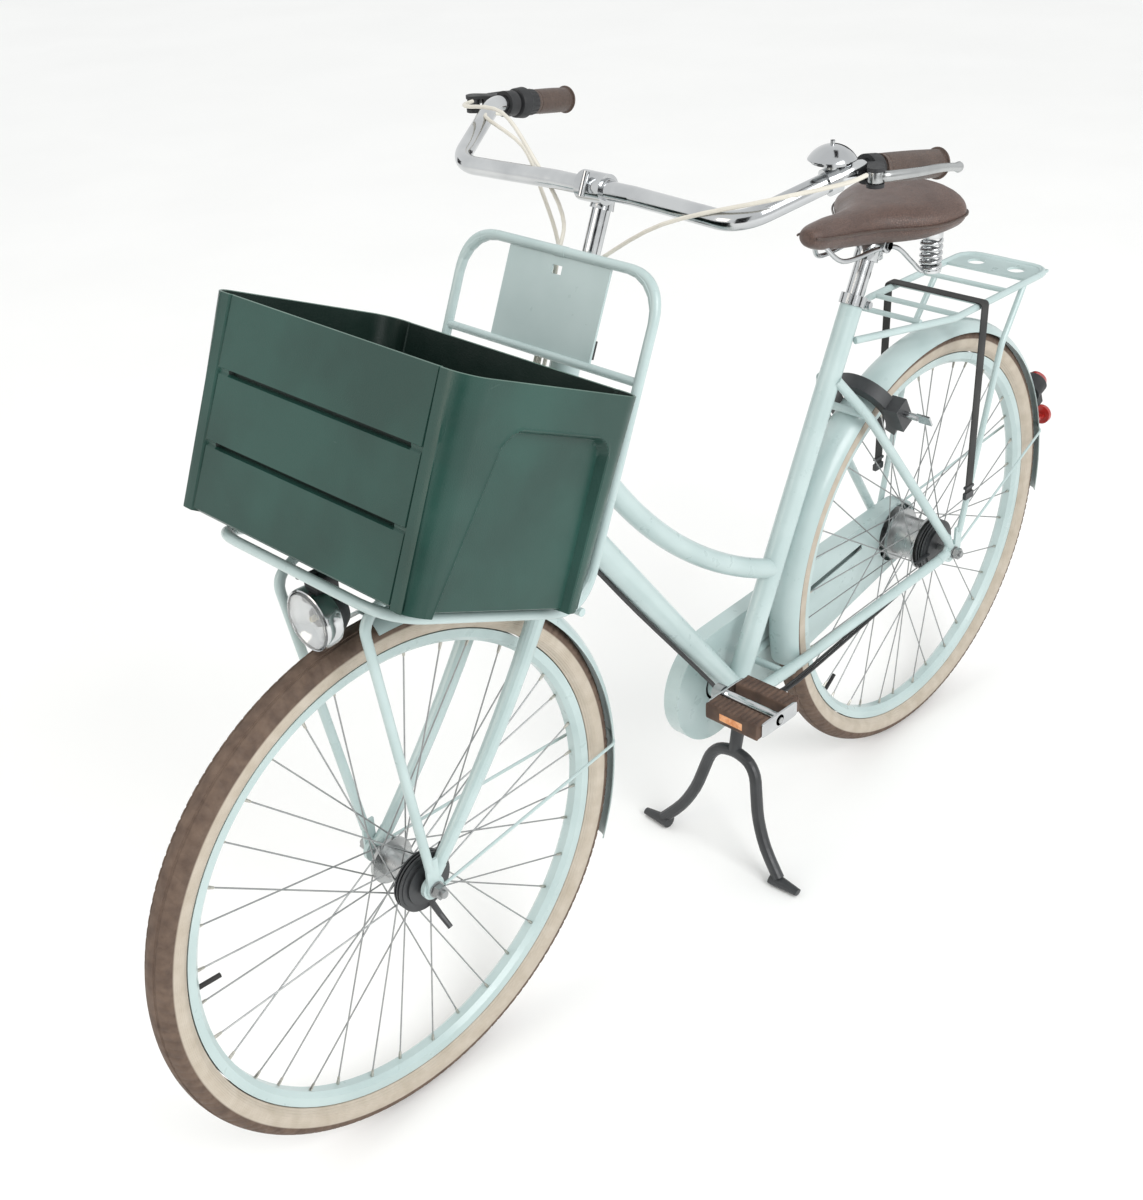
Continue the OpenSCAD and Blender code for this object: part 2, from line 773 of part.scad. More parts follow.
// The cap turns on the base's post
module bell_cap() color(silver) {
    drop = 14;
    wall = 1.8;
    sphere_r = 30;
    translate(bell_c + [0, 0, 22.4])
        difference() {
            intersection() {
                translate([0, 0, -drop])
                    sphere(r = sphere_r, $fn = 96);
                cylinder(h = 40, r = bell_r, $fn = 96);
            }
            difference() {
                translate([0, 0, -drop])
                    sphere(r = sphere_r - wall, $fn = 96);
                cylinder(h = 40, r = 5, $fn = 48);
            }
            translate([0, 0, -5])
                cylinder(h = 40, r = 2.55, $fn = 32);
        }
}

// ---- Front carrier ----
deck_s = 384;
deck_front_t = 340;
deck_rear_t = 50;
deck_half = 155;
hoop_top_s = 764;
plate_s = 648;
rail_y = 75;
carrier_r = 6;

function deck(t, y) = steer(t, y, deck_s);

module front_carrier() color(mint) {
    // One tube: the front, the sides, and the hoop that stands up behind the crate
    half_loop = [deck(deck_front_t, deck_half), deck(deck_rear_t, deck_half),
        steer(deck_rear_t, deck_half, hoop_top_s), steer(deck_rear_t, 3, hoop_top_s)];
    tube(bend(concat([for (i = [3:-1:0]) half_loop[i]], [for (p = half_loop) mirror_y(p)]), 52, 5), carrier_r,
        sides = 12);
    rod(steer(deck_rear_t, -9, hoop_top_s), steer(deck_rear_t, 9, hoop_top_s), carrier_r + 0.5);
    // The two struts from flat feet on the axle, which bend back to become the deck's rails
    for (sign = [-1, 1]) {
        tube(bend([front_axle + [6, sign * 60.5, 36], steer(302, sign * rail_y, 352), deck(272, sign * rail_y),
            deck(deck_rear_t - 30, sign * rail_y)], 26, 4), carrier_r, sides = 12);
        difference() {
            union() {
                y_bar(front_axle, sign * 59.6 - 1.8, sign * 59.6 + 1.8, 12);
                translate(front_axle + [-7, sign * 59.6 - 1.8, 0])
                    cube([18, 3.6, 44]);
            }
            y_bar(front_axle, -90, 90, 5.05);
        }
    }
    rod(deck(deck_rear_t, -deck_half), deck(deck_rear_t, deck_half), 5);
    rod(deck(190, -deck_half), deck(190, deck_half), 5);
    rod(steer(deck_rear_t, -deck_half, plate_s), steer(deck_rear_t, deck_half, plate_s), 5);
    // The plate in the hoop, with a slot near its top
    on_steering()
        difference() {
            translate([deck_rear_t - 1.5, -80, plate_s])
                cube([3, 160, hoop_top_s - plate_s]);
            translate([deck_rear_t - 5, -8, 738])
                cube([10, 16, 10]);
        }
}

// ---- Crate ----
crate_floor_s = 400;
crate_rim_s = crate_floor_s + crate_h;
crate_t0 = 96;
crate_t1 = crate_t0 + crate_l;
taper_t = 2;
taper_y = 9;
seam_y = 168;

// A rounded rectangle ring at a height, seen from above
function crate_ring(s, inset, r, n = 6) =
    let (k = (crate_rim_s - s) / crate_h)
    let (t0 = crate_t0 + inset + taper_t * k, t1 = crate_t1 - inset - taper_t * k)
    let (h = crate_half - inset - taper_y * k)
    [for (c = [[t1 - r, h - r, 0], [t0 + r, h - r, 90], [t0 + r, r - h, 180], [t1 - r, r - h, 270]])
        for (i = [0:n]) [c[0] + r * cos(c[2] + 90 * i / n), c[1] + r * sin(c[2] + 90 * i / n), s]];

module crate_cup() {
    skin([for (ring = [crate_ring(crate_floor_s, 0, 30), crate_ring(crate_rim_s, 0, 30),
        crate_ring(crate_rim_s, crate_wall, 27), crate_ring(crate_floor_s + 4, crate_wall, 27)])
        [for (i = [len(ring) - 1:-1:0]) ring[i]]]);
}

module crate_windows() {
    for (t = [crate_t0 - 10, crate_t1 - 14])
        translate([t, -seam_y, crate_floor_s + 4.6])
            cube([24, 2 * seam_y, crate_h + 10]);
}

module crate_shell() color(crate_green) on_steering() {
    difference() {
        crate_cup();
        crate_windows();
    }
}

// The outer face of the front (1) or rear (-1) wall at a height
function wall_t(end, s) = let (k = (crate_rim_s - s) / crate_h)
    end > 0 ? crate_t1 - taper_t * k : crate_t0 + taper_t * k;

slat_h = 79;
slat_gap = 4;

// Three slats at each end wall, each a thin leaning board between the two seams
module crate_slats() color(crate_green) on_steering() {
    for (end = [-1, 1])
        for (i = [0:2]) {
            s0 = crate_floor_s + (i == 0 ? 4.9 : i * slat_h + slat_gap / 2);
            s1 = i == 2 ? crate_rim_s : crate_floor_s + (i + 1) * slat_h - slat_gap / 2;
            translate([0, seam_y - 0.15, 0])
                rotate([90, 0, 0])
                    linear_extrude(2 * seam_y - 0.3)
                        polygon([[wall_t(end, s0), s0], [wall_t(end, s1), s1],
                            [wall_t(end, s1) - end * crate_wall, s1], [wall_t(end, s0) - end * crate_wall, s0]]);
        }
}

// Four bolts up into the floor, each with a collar that stands on one of the deck's rails
module crate_bolts() color(silver) {
    for (t = [deck_rear_t + 90, deck_rear_t + 190])
        for (y = [-rail_y, rail_y])
            on_steering()
                translate([t, y, deck_s + 5]) {
                    cylinder(h = 11.3, r = 7, $fn = 32);
                    cylinder(h = 14.4, r = 2.5, $fn = 24);
                }
}

// ---- Headlamp ----
lamp_c = bike(62, 0, 748);

module headlamp() color(silver) {
    translate(lamp_c)
        rotate([0, 90, 0])
            difference() {
                union() {
                    cylinder(h = 22, r = 37, $fn = 96);
                    translate([0, 0, -26])
                        cylinder(h = 26, r1 = 20, r2 = 35, $fn = 96);
                }
                translate([0, 0, 3])
                    cylinder(h = 30, r = 34, $fn = 96);
            }
    // The switch housing on top, and the bolt to the carrier's front tube
    translate(lamp_c + [-18, -14, 20])
        cube([30, 28, 30]);
    rod(lamp_c + [2, 0, 46], deck(deck_front_t, 0) - [4, 0, 4], 5);
}

module headlamp_lens() color("#e8ecee") {
    translate(lamp_c)
        rotate([0, 90, 0])
            translate([0, 0, 14])
                cylinder(h = 10, r1 = 33.8, r2 = 32, $fn = 96);
}

// ---- Saddle ----
post_top_s = 690;

module seatpost() color(silver) {
    rod(seat(seat_tube_l - 150), seat(post_top_s), 13.6);
}

// Outline of the saddle's top: half-width at a distance from its nose
saddle_nose = bike(-784, 0, 966);
saddle_l = 282;
function saddle_w(k) = 22 + 78 / (1 + exp(-13 * (k - 0.56))) + 6 * sin(180 * k) - 30 * pow(max(0, k - 0.86) / 0.14, 2);
function saddle_ring(k, m = 20) =
    let (x = saddle_nose[0] - saddle_l * k, w = saddle_w(k))
    let (top = saddle_nose[2] + 10 * k * k - 8 * sin(180 * k), deep = 34 + 38 * k)
    [for (i = [0:m - 1]) let (a = 360 * i / m)
        [x, w * cos(a), top - deep / 2 + deep / 2 * sign(sin(a)) * pow(abs(sin(a)), 0.7)]];

module saddle() color(brown) {
    ks = [0, 0.04, 0.12, 0.25, 0.4, 0.5, 0.58, 0.66, 0.76, 0.88, 0.95, 1];
    skin([for (k = ks) let (c = [saddle_nose[0] - saddle_l * k, 0, saddle_nose[2] - 17 - 19 * k])
        let (shrink = k == 0 ? 0.45 : k == 0.04 ? 0.85 : k == 1 ? 0.6 : k == 0.95 ? 0.88 : 1)
        [for (p = saddle_ring(k)) c + shrink * (p - c)]]);
}

spring_foot = saddle_nose + [-240, 50, -112];
spring_h = 46;
spring_turns = 5;

// Two rails from the nose to the springs, a coil spring under each side, and the clamp on the post
module saddle_frame() color(silver) {
    for (sign = [-1, 1]) {
        foot = side(spring_foot, sign);
        tube(smooth([saddle_nose + [-34, sign * 8, -34], saddle_nose + [-66, sign * 20, -63],
            saddle_nose + [-140, sign * 24, -65], saddle_nose + [-184, sign * 27, -72],
            saddle_nose + [-212, sign * 36, -98],
            foot + [14, -sign * 6, -2], foot + [0, 0, -2]], 4), 3.5, sides = 8);
        rod(foot - [0, 0, 5], foot + [0, 0, 1], 16);
        tube([for (i = [0:spring_turns * 12])
            foot + [14 * cos(30 * i), 14 * sin(30 * i), 1 + spring_h * i / (spring_turns * 12)]], 2.8, sides = 6);
        rod(foot + [0, 0, spring_h], foot + [0, 0, spring_h + 12], 16);
    }
    difference() {
        union() {
            rod(seat(post_top_s - 34), seat(post_top_s - 1), 18);
            y_bar(seat(post_top_s - 8), -30, 30, 11);
        }
        rod(seat(post_top_s - 60), seat(post_top_s + 1), 13.65);
    }
}

// ---- Rear carrier, strap, lamp, lock ----
rack_z = 772;
rack_half = 76;
rack_rear = -1336;
rack_front = -1060;
foot_y = dropout_y + 4.8;

module rear_carrier() color(mint) {
    for (sign = [-1, 1]) {
        // A side rail, from the seat tube to the rear end
        tube(bend([seat(seat_tube_l - 46, sign * 18, -8), bike(rack_front, sign * rack_half, rack_z),
            bike(rack_rear, sign * rack_half, rack_z), bike(rack_rear, 0, rack_z)], 30, 4), 5.5, sides = 12);
        // A leg, from a flat foot on the axle up to the rail
        tube(bend([rear_axle + [-12, sign * (foot_y + 2), 34], bike(-1200, sign * 79, 690),
            bike(-1258, sign * 76, rack_z)], 60, 5), 5, sides = 12);
        difference() {
            union() {
                y_bar(rear_axle, sign * foot_y - 2, sign * foot_y + 2, 13);
                translate(rear_axle + [-20, sign * foot_y - 2, 0])
                    cube([17, 4, 42]);
            }
            y_bar(rear_axle, -100, 100, 5.05);
        }
    }
    for (x = [-1075, -1140, -1210])
        rod(bike(x, -rack_half, rack_z), bike(x, rack_half, rack_z), 4);
    rod(bike(-1000, -56, 779), bike(-1000, 56, 779), 4);
    // The end plate, with two round-ended windows
    translate(bike(rack_rear + 4, 0, rack_z))
        difference() {
            translate([0, -rack_half, -2])
                cube([62, 2 * rack_half, 4]);
            for (sign = [-1, 1])
                translate([30, sign * 36, -5])
                    cylinder(h = 10, r = 14, $fn = 48);
        }
}

strap_y = 88;

// The strap: an inverted U over the carrier, hooked to a leg at each side
module luggage_strap() color(dark) {
    x = -1124;
    w = 20;
    t = 3;
    foot = 452;
    top = rack_z + 5.8;
    for (sign = [-1, 1]) {
        translate(bike(x - w / 2, sign * strap_y - t / 2, foot))
            cube([w, t, top - foot]);
        translate(bike(x - w / 2 - 8, sign > 0 ? strap_y - 6 : -strap_y, foot))
            cube([w + 8, 6, 12]);
    }
    translate(bike(x - w / 2, -strap_y - t / 2, top))
        cube([w, 2 * strap_y + t, t]);
}

// ---- Rear lamp ----
lamp_a = 156;
lamp_h = 27;

module on_lamp(r) {
    translate(round_axle(rear_axle, fender_r + r, lamp_a))
        rotate([0, 90 - lamp_a, 0])
            children();
}

module rear_lamp() color(dark) on_lamp(0.5) {
    cylinder(h = lamp_h, r = 21, $fn = 64);
    translate([-30, -17, 0])
        cube([30, 34, 14]);
}

// The lamp's lens, and the reflector below it, whose face is the rearmost point
module rear_lenses() color("#a02018") {
    reflector_z = 88;
    reflector_t = 7;
    on_lamp(lamp_h + 0.7)
        cylinder(h = 9, r1 = 20, r2 = 16, $fn = 64);
    translate(rear_axle + [-lamp_reach, 0, reflector_z])
        rotate([0, 90, 0])
            cylinder(h = reflector_t, r = 17, $fn = 64);
    translate(rear_axle + [reflector_t - lamp_reach - 1, -8, reflector_z - 3])
        cube([lamp_reach - reflector_t - 358, 16, 6]);
}

// ---- Ring lock ----
lock_a = 60;
lock_c = round_axle(rear_axle, 337, lock_a);
lock_r = 54;

// The frame of the ring lock: its plane stands square to the tyre, X out from the axle, Y across the wheel
module on_lock() {
    translate(lock_c)
        rotate([0, -lock_a, 0])
            children();
}

module ring_lock() color("#33383a") on_lock() {
    difference() {
        union() {
            // The arch over the tyre and its two arms
            rotate([0, 0, -122])
                rotate_extrude(angle = 244, $fn = 128)
                    translate([lock_r, 0])
                        square([17, 22], center = true);
            // The key housing on the left arm
            translate([-14, lock_r - 2, -13])
                cube([44, 24, 28]);
        }
        rotate([0, 0, -180])
            rotate_extrude(angle = 360, $fn = 128)
                translate([lock_r, 0])
                    circle(r = 5.4, $fn = 48);
        translate([10, lock_r + 40, 2])
            rotate([90, 0, 0])
                cylinder(h = 22, r = 5.05, $fn = 48);
    }
}

module lock_shackle() color(silver) on_lock() {
    rotate([0, 0, -118])
        rotate_extrude(angle = 150, $fn = 128)
            translate([lock_r, 0])
                circle(r = 4.8, $fn = 48);
}

module lock_key() color(silver) on_lock() {
    translate([10, lock_r + 44, 2])
        rotate([90, 0, 0])
            cylinder(h = 24, r = 5, $fn = 48);
    translate([1, lock_r + 44, 0.5])
        cube([18, 22, 3]);
}

// ---- Stand ----
stand_pivot = bb + [-14, 0, -54];
stand_lean = 12;

module stand_bracket() color(dark) {
    difference() {
        union() {
            translate(stand_pivot + [-26, -21, 14])
                cube([52, 42, 24]);
            for (sign = [-1, 1])
                translate(stand_pivot + [-13, sign * 17 - 4, -12])
                    cube([26, 8, 30]);
        }
        y_bar(stand_pivot, -40, 40, 5);
        y_bar(bb, -60, 60, 22.05);
    }
    y_bar(stand_pivot, -25, 25, 5);
}

function stand_pt(w, y) = stand_pivot + w * [sin(stand_lean), 0, -cos(stand_lean)] + [0, y, 0];
stand_len = (stand_pivot[2] - 7) / cos(stand_lean);

module stand_legs() color(dark) {
    difference() {
        union() {
            y_bar(stand_pivot, -12.5, 12.5, 12);
            rod(stand_pivot, stand_pt(56, 0), 11, 10);
        }
        y_bar(stand_pivot, -30, 30, 5.05);
    }
    // One bent tube makes both legs, with a flat foot at each end
    half_leg = [stand_pt(60, 10), stand_pt(67, 30), stand_pt(84, 44), stand_pt(112, 52), stand_pt(150, 63),
        stand_pt(190, 84), stand_pt(stand_len - 6, stand_half - 6)];
    tube(smooth(concat([for (i = [6:-1:0]) half_leg[i]], [for (p = half_leg) mirror_y(p)]), 3), 9.5, sides = 14);
    for (sign = [-1, 1])
        tube([stand_pt(stand_len - 2, sign * (stand_half - 18)), stand_pt(stand_len, sign * (stand_half + 32))], 9, 5,
            sides = 12, flat = 1.3);
}

// ---- Cables ----
down_u = unit(steer(0, 0, down_s) - bb);
// A point on the lower side of the down tube, at a part of its length
function under_down(k, y) = bb + k * (steer(0, 0, down_s) - bb) + (down_r + 3.5) * [down_u[2], 0, -down_u[0]] + [0, y, 0];

// Two cables from the head tube's foot, under the down tube and the crank shell, to the rear hub
module rear_cables() color("#50504e") {
    for (k = [0, 1])
        tube(smooth([steer(30, -12 - 8 * k, 447), steer(23, -22 - 5 * k, 438), steer(4, -28 - 5 * k, 436),
            steer(-20, -20, 434 - 6 * k), under_down(0.86, -4 - 6 * k), under_down(0.5, 4 - 6 * k),
            under_down(0.16, 20 - 6 * k), bb + [24, 30 - 6 * k, -16], bb + [0, 32 - 6 * k, -28],
            bb + [-42, 37 - 6 * k, -13 - k], bb + [-90, 50 - 6 * k, -7], rear_axle + [110, 64 - 6 * k, -20],
            rear_axle + [66 - 4 * k, 60 - 8 * k, -22]], 5), 2.4, sides = 8);
}

module head_bracket() color(dark) on_steering() {
    difference() {
        union() {
            translate([0, 0, 650])
                cylinder(h = 26, r = 22, $fn = 64);
            translate([-6, 16, 652])
                cube([22, 20, 22]);
        }
        translate([0, 0, 640])
            cylinder(h = 50, r = 18.6, $fn = 64);
    }
}

// Two cables from the right lever and shifter, and one from the left lever, to the head tube's foot
module bar_cables() color(cream) {
    tube(smooth([on_bar(-1, 138) + [24, -20, 6], on_bar(-1, 152) + [40, -2, 6], bike(-430, -196, 1158),
        bike(-398, -112, 1122), bike(-378, -48, 1070), steer(30, -22, 752), steer(30, -20, 600),
        steer(30, -20, 450)], 5), 2.5, sides = 8);
    tube(smooth([on_bar(-1, 134) + [10, 18, -8], on_bar(-1, 160) + [24, 24, -6], bike(-442, -176, 1118),
        bike(-404, -108, 1084), bike(-372, -52, 1040), steer(37, -14, 740), steer(31, -12, 600),
        steer(30, -12, 450)], 5), 2.5, sides = 8);
    tube(smooth([lever_pivot(1) + [12, -3, 4], bike(-440, 300, 1146), bike(-386, 250, 1134), bike(-352, 130, 1096),
        bike(-336, 40, 1040), steer(38, 6, 740), steer(31, -4, 600), steer(30, -4, 450)], 5), 2.5, sides = 8);
}

// ---- Drawing ----
frame();
bottom_bracket();
headset();
seat_clamp();
chain_case();
chain();
rear_fender();
rear_fender_stays();
rear_lamp();
rear_lenses();
rear_carrier();
luggage_strap();
ring_lock();
rear_axle_set();  // rear_axle
rear_brake();
stand_bracket();
rear_cables();
head_bracket();
seatpost();
saddle();
saddle_frame();
fork();
stem();
handlebar();
grips();
lever_clamps();
bell_base();
front_carrier();
crate_shell();
crate_slats();
crate_bolts();
headlamp();
headlamp_lens();
front_fender();
front_fender_stays();
front_axle_set();  // front_axle
front_brake();
bar_cables();
left_brake_lever();
right_brake_lever();
twist_shifter();
bell_cap();
front_hub();
front_spokes();
front_rim();
front_tube();
front_tyre();
rear_hub();
rear_spokes();
rear_rim();
rear_tube();
rear_tyre();
rear_sprocket();
crankset();
chainring();
left_pedal();
right_pedal();
lock_shackle();
lock_key();
stand_legs();
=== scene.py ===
"""A town bicycle on its two-legged stand, with a moulded crate on the front carrier.

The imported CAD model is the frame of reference: it is loaded first, and every point below is worked out
from its boxes and joints. New pieces are surfaces worked out with numpy, and each rides on a CAD body."""
import json
import bmesh
import bpy
import numpy as np
from mathutils import Matrix, Vector

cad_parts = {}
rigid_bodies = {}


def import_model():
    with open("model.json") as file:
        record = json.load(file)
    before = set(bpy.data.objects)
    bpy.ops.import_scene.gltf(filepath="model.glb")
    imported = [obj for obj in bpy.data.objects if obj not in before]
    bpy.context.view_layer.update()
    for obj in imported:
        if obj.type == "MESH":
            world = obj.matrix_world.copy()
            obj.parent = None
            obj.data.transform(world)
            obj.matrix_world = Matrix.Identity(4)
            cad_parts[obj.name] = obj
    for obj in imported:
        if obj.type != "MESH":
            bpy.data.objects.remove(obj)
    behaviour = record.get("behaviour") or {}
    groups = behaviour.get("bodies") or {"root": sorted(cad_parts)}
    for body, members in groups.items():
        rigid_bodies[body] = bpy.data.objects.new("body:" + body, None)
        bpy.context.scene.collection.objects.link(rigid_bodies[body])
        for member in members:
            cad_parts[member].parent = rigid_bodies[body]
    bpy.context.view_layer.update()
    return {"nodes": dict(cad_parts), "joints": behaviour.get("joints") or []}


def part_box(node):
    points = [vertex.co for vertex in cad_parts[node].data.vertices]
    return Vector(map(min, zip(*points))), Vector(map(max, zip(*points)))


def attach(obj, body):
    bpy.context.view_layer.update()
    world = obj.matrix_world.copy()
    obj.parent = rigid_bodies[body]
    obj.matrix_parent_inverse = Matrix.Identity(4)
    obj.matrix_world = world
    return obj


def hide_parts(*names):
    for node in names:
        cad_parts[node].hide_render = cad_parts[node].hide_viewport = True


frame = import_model()
nodes = frame["nodes"]
scene = bpy.context.scene


# ---- The bicycle's own measures ----
def middle(node):
    """The middle of a CAD node's box."""
    low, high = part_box(node)
    return (np.array(low) + np.array(high)) / 2


def joint_axis(name):
    """A joint's axis as an array of three numbers."""
    return np.array([j["axis"] for j in frame["joints"] if j["name"] == name][0], float)


front_axle = middle("front_tyre")
rear_axle = middle("rear_tyre")
crank_axle = middle("bottom_bracket")
steer_up = joint_axis("steering_turn")
steer_ahead = np.array([steer_up[2], 0, -steer_up[0]])
FORK_RAKE = 0.080
steer_base = front_axle - FORK_RAKE * steer_ahead
seat_up = joint_axis("seat_height")
seat_ahead = np.array([seat_up[2], 0, -seat_up[0]])
ACROSS = np.array([0.0, 1.0, 0.0])


def bike(x, y, z):
    """A point from millimetres ahead of the front axle, to the left, and above the ground."""
    return np.array([front_axle[0] + x / 1000, y / 1000, z / 1000])


def steer(t, y, s):
    """A point from millimetres ahead of the steering axis, to the left, and up along the axis."""
    return steer_base + t / 1000 * steer_ahead + y / 1000 * ACROSS + s / 1000 * steer_up


def seat(s, y=0, n=0):
    """A point from millimetres up the seat tube from the crank axle, to the left, and ahead of the tube."""
    return crank_axle + s / 1000 * seat_up + y / 1000 * ACROSS + n / 1000 * seat_ahead


def mm(x, y, z):
    """A step in millimetres as an array in metres."""
    return np.array([x, y, z]) / 1000


def left_right(p, sign):
    """The point on the left (1), or its mirror image on the right (-1)."""
    return np.array([p[0], sign * p[1], p[2]])


# ---- Colours, nodes and finishes ----
def paint(code):
    """An sRGB hex colour as a linear RGBA colour."""
    c = np.array([int(code[i:i + 2], 16) for i in (1, 3, 5)]) / 255
    c = np.where(c <= 0.04045, c / 12.92, ((c + 0.055) / 1.055) ** 2.4)
    return (*c.tolist(), 1.0)


def add(tree, kind, inputs=None, **settings):
    """Adds a node, sets its properties, and sets or links its inputs by name or number."""
    made = tree.nodes.new("ShaderNode" + kind)
    for key, value in settings.items():
        setattr(made, key, value)
    for key, value in (inputs or {}).items():
        if isinstance(value, bpy.types.NodeSocket):
            tree.links.new(value, made.inputs[key])
        else:
            made.inputs[key].default_value = value
    return made


def blank(name, **constants):
    """A new material with a Principled shader; the constants are set on the shader's own sockets."""
    made = bpy.data.materials.new(name)
    made.use_nodes = True
    tree = made.node_tree
    tree.nodes.clear()
    shader = add(tree, "BsdfPrincipled", {k.replace("_", " "): v for k, v in constants.items()})
    add(tree, "OutputMaterial", {"Surface": shader.outputs[0]})
    return made, tree, shader


def placed(tree, patch_mm, stretch=(1, 1, 1), turn=(0, 0, 0)):
    """Object coordinates scaled so that one unit is one patch of that many millimetres."""
    scale = [1000 / (patch_mm * s) for s in stretch]
    return add(tree, "Mapping", {"Vector": add(tree, "TexCoord").outputs["Object"], "Scale": scale,
                                 "Rotation": turn}).outputs[0]


def mixed(tree, share, low, high):
    """A colour between two hex colours, by a share from 0 to 1."""
    return add(tree, "Mix", {0: share, 6: paint(low) if isinstance(low, str) else low,
                             7: paint(high) if isinstance(high, str) else high}, data_type="RGBA").outputs[2]


def spread(tree, value, from_low, from_high, low, high):
    """A value carried from one range to another, and kept inside it."""
    return add(tree, "MapRange", {"Value": value, "From Min": from_low, "From Max": from_high, "To Min": low,
                                  "To Max": high}).outputs[0]


def clouds(tree, patch_mm, detail=2.0, **where):
    """Soft noise whose patches are about that many millimetres across."""
    return add(tree, "TexNoise", {"Vector": placed(tree, patch_mm, **where), "Scale": 1.0, "Detail": detail}).outputs[0]


def sums(tree, operation, a, b=0.0, c=0.0):
    """One step of arithmetic on sockets or numbers."""
    return add(tree, "Math", {0: a, 1: b, 2: c}, operation=operation).outputs[0]


def finish(name, low, high, patch_mm, rough, grain_mm, relief_mm, stretch=(1, 1, 1), **constants):
    """A plain finish: colour between two hex values in soft patches, roughness that varies the other way in finer
    patches, and a relief of the given height whose grain is grain_mm across."""
    made, tree, shader = blank(name, **constants)
    patches = clouds(tree, patch_mm, 3.0)
    tree.links.new(mixed(tree, spread(tree, patches, 0.35, 0.65, 0, 1), low, high), shader.inputs["Base Color"])
    smudges = clouds(tree, patch_mm / 4, 4.0, stretch=stretch)
    tree.links.new(spread(tree, smudges, 0.3, 0.7, *rough), shader.inputs["Roughness"])
    grain = clouds(tree, grain_mm, 2.0, stretch=stretch)
    bump = add(tree, "Bump", {"Height": grain, "Distance": relief_mm / 1000, "Strength": 1.0})
    tree.links.new(bump.outputs[0], shader.inputs["Normal"])
    return made


# Stoved enamel on steel: a thin clear-topped paint, so an even colour under a soft, slightly rippled gloss
mint_enamel = finish("mint_enamel_stoved", "#acbebd", "#b6c7c6", 90, (0.26, 0.38), 14, 0.05,
                     Coat_Weight=0.35, Coat_Roughness=0.12, Specular_IOR_Level=0.5)
# Decorative chrome: a mirror with faint handling smudges
chrome_plate = finish("steel_chrome_plated", "#b9bbbd", "#cdcfd0", 60, (0.07, 0.2), 30, 0.02, Metallic=1.0)
# Bright zinc: a grey metal with small dull patches
zinc_steel = finish("steel_zinc_plated", "#999b9c", "#a5a7a7", 12, (0.3, 0.5), 1.5, 0.03, Metallic=0.9)
# Forged and brushed aluminium: broad satin highlights
alloy = finish("aluminium_brushed", "#adafaf", "#b7b9b9", 25, (0.24, 0.4), 2.0, 0.03, stretch=(6, 1, 6), Metallic=1.0)
# Moulded nylon: black, matt, with a spark-eroded grain
black_plastic = finish("nylon_moulded_black", "#1d1e20", "#292a2c", 30, (0.45, 0.62), 1.4, 0.12)
# Powder coat on steel: dark grey with a fine pebble
black_paint = finish("powder_coat_dark", "#2b2c2e", "#36383a", 40, (0.38, 0.52), 1.6, 0.08,
                     Coat_Weight=0.15, Coat_Roughness=0.3)
# Butyl tube: dull grey-black with a dusty bloom
tube_rubber = finish("butyl_rubber", "#1f1f20", "#2f2e2d", 40, (0.7, 0.85), 3, 0.05)
# Vulcanised pedal rubber: brown, matt, worn paler in patches
pedal_rubber = finish("rubber_moulded_brown", "#4a382e", "#5f4a3d", 18, (0.62, 0.8), 1.5, 0.15)
# Cable housing: extruded PVC, pale and faintly glossy
cable_grey = finish("pvc_cable_pale", "#c9c5ba", "#dad6cb", 60, (0.32, 0.42), 4, 0.02)
cable_black = finish("pvc_cable_black", "#1c1c1d", "#2a2a2b", 60, (0.35, 0.5), 4, 0.02)
# Extruded rubber strap: black with a dusty bloom and faint lengthwise drag lines
strap_rubber = finish("rubber_strap_extruded", "#1f1f1f", "#2d2d2c", 35, (0.55, 0.72), 1.2, 0.1, stretch=(1, 6, 6))
# Acrylic lens: clear, moulded with flutes on its inner face
clear_lens = finish("acrylic_clear", "#f4f7f8", "#fbfcfc", 40, (0.03, 0.08), 9, 0.5, stretch=(1, 1, 8),
                    Transmission_Weight=0.85, IOR=1.49)
# Red acrylic: moulded with small prisms behind it
red_lens = finish("acrylic_red", "#8e1712", "#b3261e", 20, (0.1, 0.2), 4, 0.5, Coat_Weight=0.5, Coat_Roughness=0.05)
# Prism reflector: pale orange acrylic that looks like frosted candy
amber_lens = finish("acrylic_amber", "#d98a54", "#efae7c", 8, (0.15, 0.3), 3, 0.5, Coat_Weight=0.5, Coat_Roughness=0.08)


def crate_plastic_made(name, low, high):
    """Polypropylene, injection moulded: dark green, matt, with a spark-eroded grain 1.6 mm across, drawn about twice
    as coarse as the real one so that it shows. Faint flow clouds, and scuffs that lighten it in short streaks."""
    made, tree, shader = blank(name, Specular_IOR_Level=0.38)
    clouds_big = spread(tree, clouds(tree, 110, 3.0), 0.35, 0.65, 0, 1)
    base = mixed(tree, clouds_big, low, high)
    scuff = spread(tree, clouds(tree, 6, 5.0, stretch=(5, 5, 1)), 0.74, 0.84, 0, 0.22)
    tree.links.new(mixed(tree, scuff, base, "#6f8a80"), shader.inputs["Base Color"])
    tree.links.new(spread(tree, clouds(tree, 20, 3.0), 0.3, 0.7, 0.28, 0.38), shader.inputs["Roughness"])
    grain = clouds(tree, 1.6, 2.0)
    tree.links.new(add(tree, "Bump", {"Height": grain, "Distance": 0.00018}).outputs[0], shader.inputs["Normal"])
    return made


